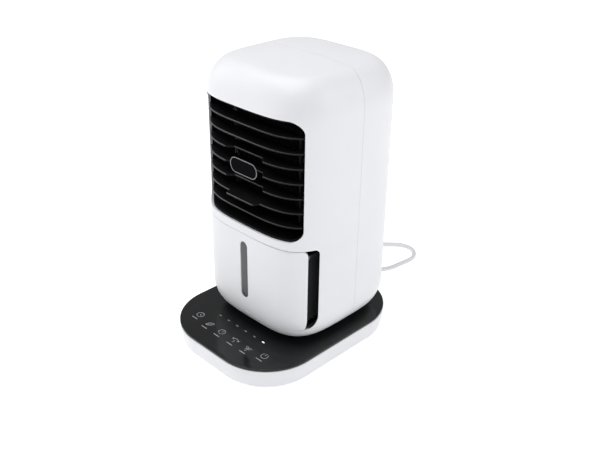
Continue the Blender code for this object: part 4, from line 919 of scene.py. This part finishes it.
def level_window():
    """A pill-shaped lens just under the panel's surface: outlines shrink to the middle line as the face
    rises on a quarter round."""
    rows = []
    for inset, deep in ((0.3, 2.6), (0.3, 1.2), (0.4, 0.8), (0.65, 0.55), (1.0, 0.45), (1.6, 0.4)):
        inset *= MM
        corner = 5.45 * MM - inset
        half, low, high = WINDOW_HALF - inset, WINDOW_LOW + inset, WINDOW_HIGH - inset
        u, v, _, _ = round_loop(half, low, high, corner, corner, 8, 1, 20)
        row = face_point(u, v, inset_at(v))
        row[:, 1] += deep * MM
        rows.append(row)
    last = rows[-1].copy()
    last[:, 0] = 0
    last[:, 2] = np.clip(last[:, 2], 73.5 * MM, 133 * MM)
    last[:, 1] = face_point(last[:, 0], last[:, 2], inset_at(last[:, 2]))[:, 1] + 0.4 * MM
    rows.append(last)
    mesh_piece("level_lens", [close(np.stack(rows))], WINDOW, "tank", ("level_window",), 40)


def outlet_surround():
    """The black frame in the outlet: its outline swept from a rounded front edge, which follows the inside
    of the housing's wall, straight back to a flange behind it."""
    counts = (9, 46, 36)
    outer = loop_inside(OUTLET, 0.3 * MM, counts)
    inner = loop_inside(OUTLET, 2.3 * MM, counts)
    back, flange, flange_thick, nose = BODY_Y - 50 * MM, 2.4 * MM, 2 * MM, 0.7 * MM

    def row(loop, out, y):
        return points_at(loop[0] + loop[2] * out, y, loop[1] + loop[3] * out)

    def front_row(loop, out, deep):
        x, z = loop[0] + loop[2] * out, loop[1] + loop[3] * out
        return row(loop, out, np.minimum(wall_y(x, inset_at(z) + WALL) + deep, back))

    ring = [row(outer, 0, back - flange_thick)]
    ring += [front_row(outer, away - nose, nose - deep) for away, deep in rounding(nose, 0, 30, 60, 90)]
    ring += [front_row(inner, nose - away, nose - deep) for away, deep in rounding(nose, 90, 60, 30, 0)]
    ring += [row(inner, 0, back - 6 * MM), row(inner, 0, back)]
    ring += [row(outer, flange, back), row(outer, flange, back - flange_thick)]
    surround = close(np.stack(ring + ring[:1]))
    mesh_piece("outlet_surround", [surround], SLAT, "housing", ("grille_frame",), 40)


def air_sleeve():
    """A dark lining between the outlet's frame and the pad's frame, 1 mm thick."""
    outer = loop_inside(OUTLET, 1.3 * MM, (9, 46, 36))
    inner = loop_inside(OUTLET, 2.3 * MM, (9, 46, 36))
    front, back = -26.2 * MM, -9.4 * MM
    rows = []
    for loop, y in ((outer, front), (outer, back), (inner, back), (inner, front), (outer, front)):
        rows.append(points_at(loop[0], y, loop[1]))
    mesh_piece("air_sleeve", [close(np.stack(rows))], INNER_BLACK, "housing", sharp=40)


def front_edge(number, x):
    """How far forward a louvre reaches at x: just behind the housing's face, with a straight-shouldered
    recess in the middle three and a finger tab on the sixth."""
    base = wall_y(x, LOUVRE_BACK)
    face = wall_y(0, LOUVRE_BACK)
    step, recess_half, recess_ramp, tab_half, tab_ramp = 7 * MM, 29 * MM, 7.5 * MM, 24 * MM, 4 * MM
    if abs(number - BADGE_LOUVRE) < 2:
        share = np.clip((recess_half - abs(x)) / recess_ramp, 0, 1)
        return base + share * (face + step - base)
    if number == TAB_LOUVRE:
        share = ease(tab_half - abs(x), 0, tab_ramp)
        return base + share * (face - step - base)
    return base


def flat_block(outline, middle, z, half):
    """An outline between two level faces, half below z and half above it, each drawn in to its middle."""
    u, v = outline[:2]
    rows = []
    for share, up in ((0, -half), (1, -half), (1, half), (0, half)):
        away = 1 - share
        rows.append(points_at(u * share + middle[0] * away, v * share + middle[1] * away, z + up))
    return close(np.stack(rows))


def louvres():
    """Each blade is a section with a round nose carried along its curved front edge. The blade is 2 mm thick
    and its nose is a half ellipse. Pins, a crank ear and a crank pin are turned rods and a small block."""
    thick, nose, tail = 1 * MM, 1.5 * MM, 0.5 * MM
    ear_x = 58.15 * MM
    back = PIVOT_Y + 2.5 * MM
    marks = np.array([20.9, 22.1, 28.4, 29.6, 70.1]) * MM
    x = spread(*-marks[::-1], *marks, counts=(34, 4, 8, 4, 26, 4, 8, 4, 34))
    pin = np.array([(0, 68), (1.2, 68), (1.2, 71.9), (0.9, 72.1), (0, 72.1)]) * MM
    crank = np.array([(0, 57.4), (0.9, 57.4), (0.9, 62.8), (0.7, 63), (0, 63)]) * MM
    ear_low, ear_high = PIVOT_Y + 1 * MM, PIVOT_Y + CRANK + 1.6 * MM
    ear = round_loop(1.15 * MM, ear_low, ear_high, 0.4 * MM, 1.1 * MM, 3, 2, 3, ear_x)
    for number in range(1, 8):
        z = LOUVRE_TOP - LOUVRE_PITCH * (number - 1)
        y = front_edge(number, x)
        front = []
        for turn in np.radians(np.linspace(-90, 90, 11)):
            front.append(points_at(x, y + nose * (1 - math.cos(turn)), z + thick * math.sin(turn)))
        rear = []
        for turn in np.radians([90, 45, 0, -45, -90]):
            rear.append(points_at(x, back - tail * (1 - math.cos(turn)), z + thick * math.sin(turn)))
        mid_top, mid_low = (points_at(x, (y + nose + back) / 2, z + up) for up in (thick, -thick))
        section = np.stack(front + [mid_top] + rear + [mid_low, front[0]])
        patches = [section]
        for edge in (section[:, 0], section[:, -1]):
            patches.append(np.stack([edge, np.repeat(edge.mean(axis=0)[None], len(edge), axis=0)]))
        for side in (-1, 1):
            patches.append(turned(pin * [1, side], (0, PIVOT_Y, z), "X", 16))
        patches.append(turned(crank, (0, PIVOT_Y + CRANK, z), "X", 16))
        patches.append(flat_block(ear, (ear_x, PIVOT_Y + 4 * MM), z, thick))
        if number == BADGE_LOUVRE:
            face = wall_y(0, LOUVRE_BACK)
            tongue = round_loop(8 * MM, face + 0.8 * MM, face + 8 * MM, 0.5 * MM, 0.5 * MM, 3, 4, 3)
            patches.append(flat_block(tongue, (0, face + 4 * MM), z, 0.95 * MM))
        body = f"louvre_{number}"
        mesh_piece(f"louvre_blade_{number}", patches, SLAT, body, (body,), 40, weld=1e-6)
        # A thin light-grey tube along each nose is a painted highlight for the light on the rounded front
        # edge
        highlight_path = points_at(x, y + 0.55 * MM, z + 0.6 * MM)
        slope = abs(np.gradient(y, x))
        radius = 0.36 * MM * (1 - 0.8 * ease(slope, 0.45, 0.9) * (abs(x) < 31 * MM))
        mesh_piece(f"louvre_edge_highlight_{number}", [swept(highlight_path, radius, 8)], EDGE_HIGHLIGHT, body, sharp=60)


def badge():
    """A blank pill-shaped plate: a black field inside a thin raised rim, both on outlines that shrink to the
    middle line."""
    half, round_end = 20.5 * MM, 8.6 * MM
    middle_z = LOUVRE_TOP - LOUVRE_PITCH * (BADGE_LOUVRE - 1) + 1 * MM
    face = wall_y(0, LOUVRE_BACK)

    def ring(inset, deep):
        radius = round_end * 0.97 - inset
        low, high = middle_z - round_end + inset, middle_z + round_end - inset
        u, v, _, _ = round_loop(half - inset, low, high, radius, radius, 12, 18, 1)
        return points_at(u, face + deep, v)

    rim = [(0.9, 0.5), (0.9, 0.15), (0.75, 0.04), (0.55, 0), (0.3, 0), (0.1, 0.06), (0, 0.2), (0, 0.5)]
    rim.append(rim[0])
    rim = [ring(inset * MM, deep * MM) for inset, deep in rim]
    mesh_piece("badge_rim", [close(np.stack(rim))], RIM_GREY, "louvre_4", sharp=50)
    field = [(0.9, 0.5), (0.9, 0.22), (2.2, 0.2), (4.5, 0.2), (7.5, 0.2)]
    field = [ring(inset * MM, deep * MM) for inset, deep in field]
    for deep in (0.2, 0.5):
        line = ring(7.5 * MM, deep * MM)
        line[:, 2] = middle_z
        line[:, 0] = np.clip(line[:, 0], -12 * MM, 12 * MM)
        field.insert(0 if deep > 0.3 else len(field), line)
    plate = close(np.stack(field))
    mesh_piece("badge_field", [plate], FIELD, "louvre_4", ("badge_plate",), 50)


def cooling_pad():
    """A corrugated block: its front and back faces are rows of arched cells, as stacked waves of paper
    whose height alternates by half a wave from one sheet to the next."""
    low_x, high_x, low_z, high_z = -62.6 * MM, 62.6 * MM, 156.7 * MM, 290.6 * MM
    front, back = BODY_Y - 30.9 * MM, BODY_Y - 10.1 * MM
    x = np.linspace(low_x, high_x, 210)[None, :]
    z = np.linspace(low_z, high_z, 190)[:, None]
    sheet, cell, cell_depth = 7 * MM, 9 * MM, 2.2 * MM
    level = z / sheet
    wave = np.sin(2 * math.pi * x / cell + math.pi * np.floor(level))
    fold = abs((level - np.floor(level)) - 0.5 - 0.33 * wave)
    depth = cell_depth * ease(fold, 0.06, 0.2)
    faces = [points_at(x, front + depth, z), points_at(x, back - depth, z)]
    patches = list(faces)
    for cut in (np.s_[0, :], np.s_[-1, :], np.s_[:, 0], np.s_[:, -1]):
        patches.append(np.stack([faces[0][cut], faces[1][cut]]))
    mesh_piece("corrugated_pad", patches, PAD_PAINTED_SHADE, "housing", ("cooling_pad",), 60)


def impeller():
    """Seven blades: chord and pitch change from root to tip, and the camber is a shallow arch. The hub is a
    turned cup."""
    centre = np.array([0, BODY_Y, 226 * MM])
    hub = [(0, 4), (15, 4), (17.2, 4.7), (18, 6.5), (18, 21.4), (17.4, 22), (4, 22)]
    hub += [(1.8, 22), (1.8, 7), (0, 7)]
    patches = [turned(np.array(hub) * MM, centre, "Y", 48)]
    blades = 7
    root, tip = 17 * MM, 57.3 * MM
    radius = np.linspace(root, tip, 22)[:, None]
    share = (radius - root) / (tip - root)
    chord = (16 + 15 * share - 4 * share**6) * MM
    pitch = np.radians(46 - 20 * share)
    t = np.concatenate([np.linspace(-0.5, 0.5, 15), np.linspace(0.5, -0.5, 15)])[None, :]
    side = np.concatenate([np.full(15, 1.0), np.full(15, -1.0)])[None, :]
    thick = side * 0.8 * MM * np.sqrt(np.clip(1 - (2 * t) ** 2, 0, 1)) + 1.5 * MM * (1 - (2 * t) ** 2)
    sweep = t * chord * np.cos(pitch) + thick * np.sin(pitch)
    deep = 13 * MM - t * chord * np.sin(pitch) + thick * np.cos(pitch)
    for number in range(blades):
        turn = 2 * math.pi * number / blades + sweep / radius
        blade = points_at(radius * np.sin(turn), deep, radius * np.cos(turn)) + centre
        patches.append(close(np.concatenate([pole(blade[0]), blade, pole(blade[-1])])))
    mesh_piece("impeller", patches, INNER_BLACK, "fan", ("fan_impeller",), 40)


def dress(material, *nodes):
    """Gives carried-over moulded parts their finish."""
    for node in nodes:
        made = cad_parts[node]
        made.data.materials.clear()
        made.data.materials.append(material)


camera()
studio()
cord()
base_tray()
base_cover()
touch_marks()
housing()
tank_panel()
level_window()
outlet_surround()
air_sleeve()
louvres()
badge()
cooling_pad()
impeller()
dress(RUBBER, "foot_front_left", "foot_front_right", "foot_rear_left", "foot_rear_right")
dress(STEEL, "base_screw_1", "base_screw_2", "base_screw_3", "base_screw_4", "fan_shaft")
dress(CAN_STEEL, "swing_motor", "fan_motor")
dress(BOARD, "touch_board", "power_board")
dress(NYLON, "swing_bearing", "swing_pinion", "sector_gear", "water_hose", "tank_float")
dress(INNER_BLACK, "turntable", "bay_deck", "tank_rail_left", "tank_rail_right", "sump_tray", "water_pump")
dress(INNER_BLACK, "pad_frame", "water_trough", "fan_shroud", "louvre_link", "tank_spout")
dress(FILTER, "dust_filter")
dress(SMOKED, "tank_bin")
dress(WHITE, "rear_grille")
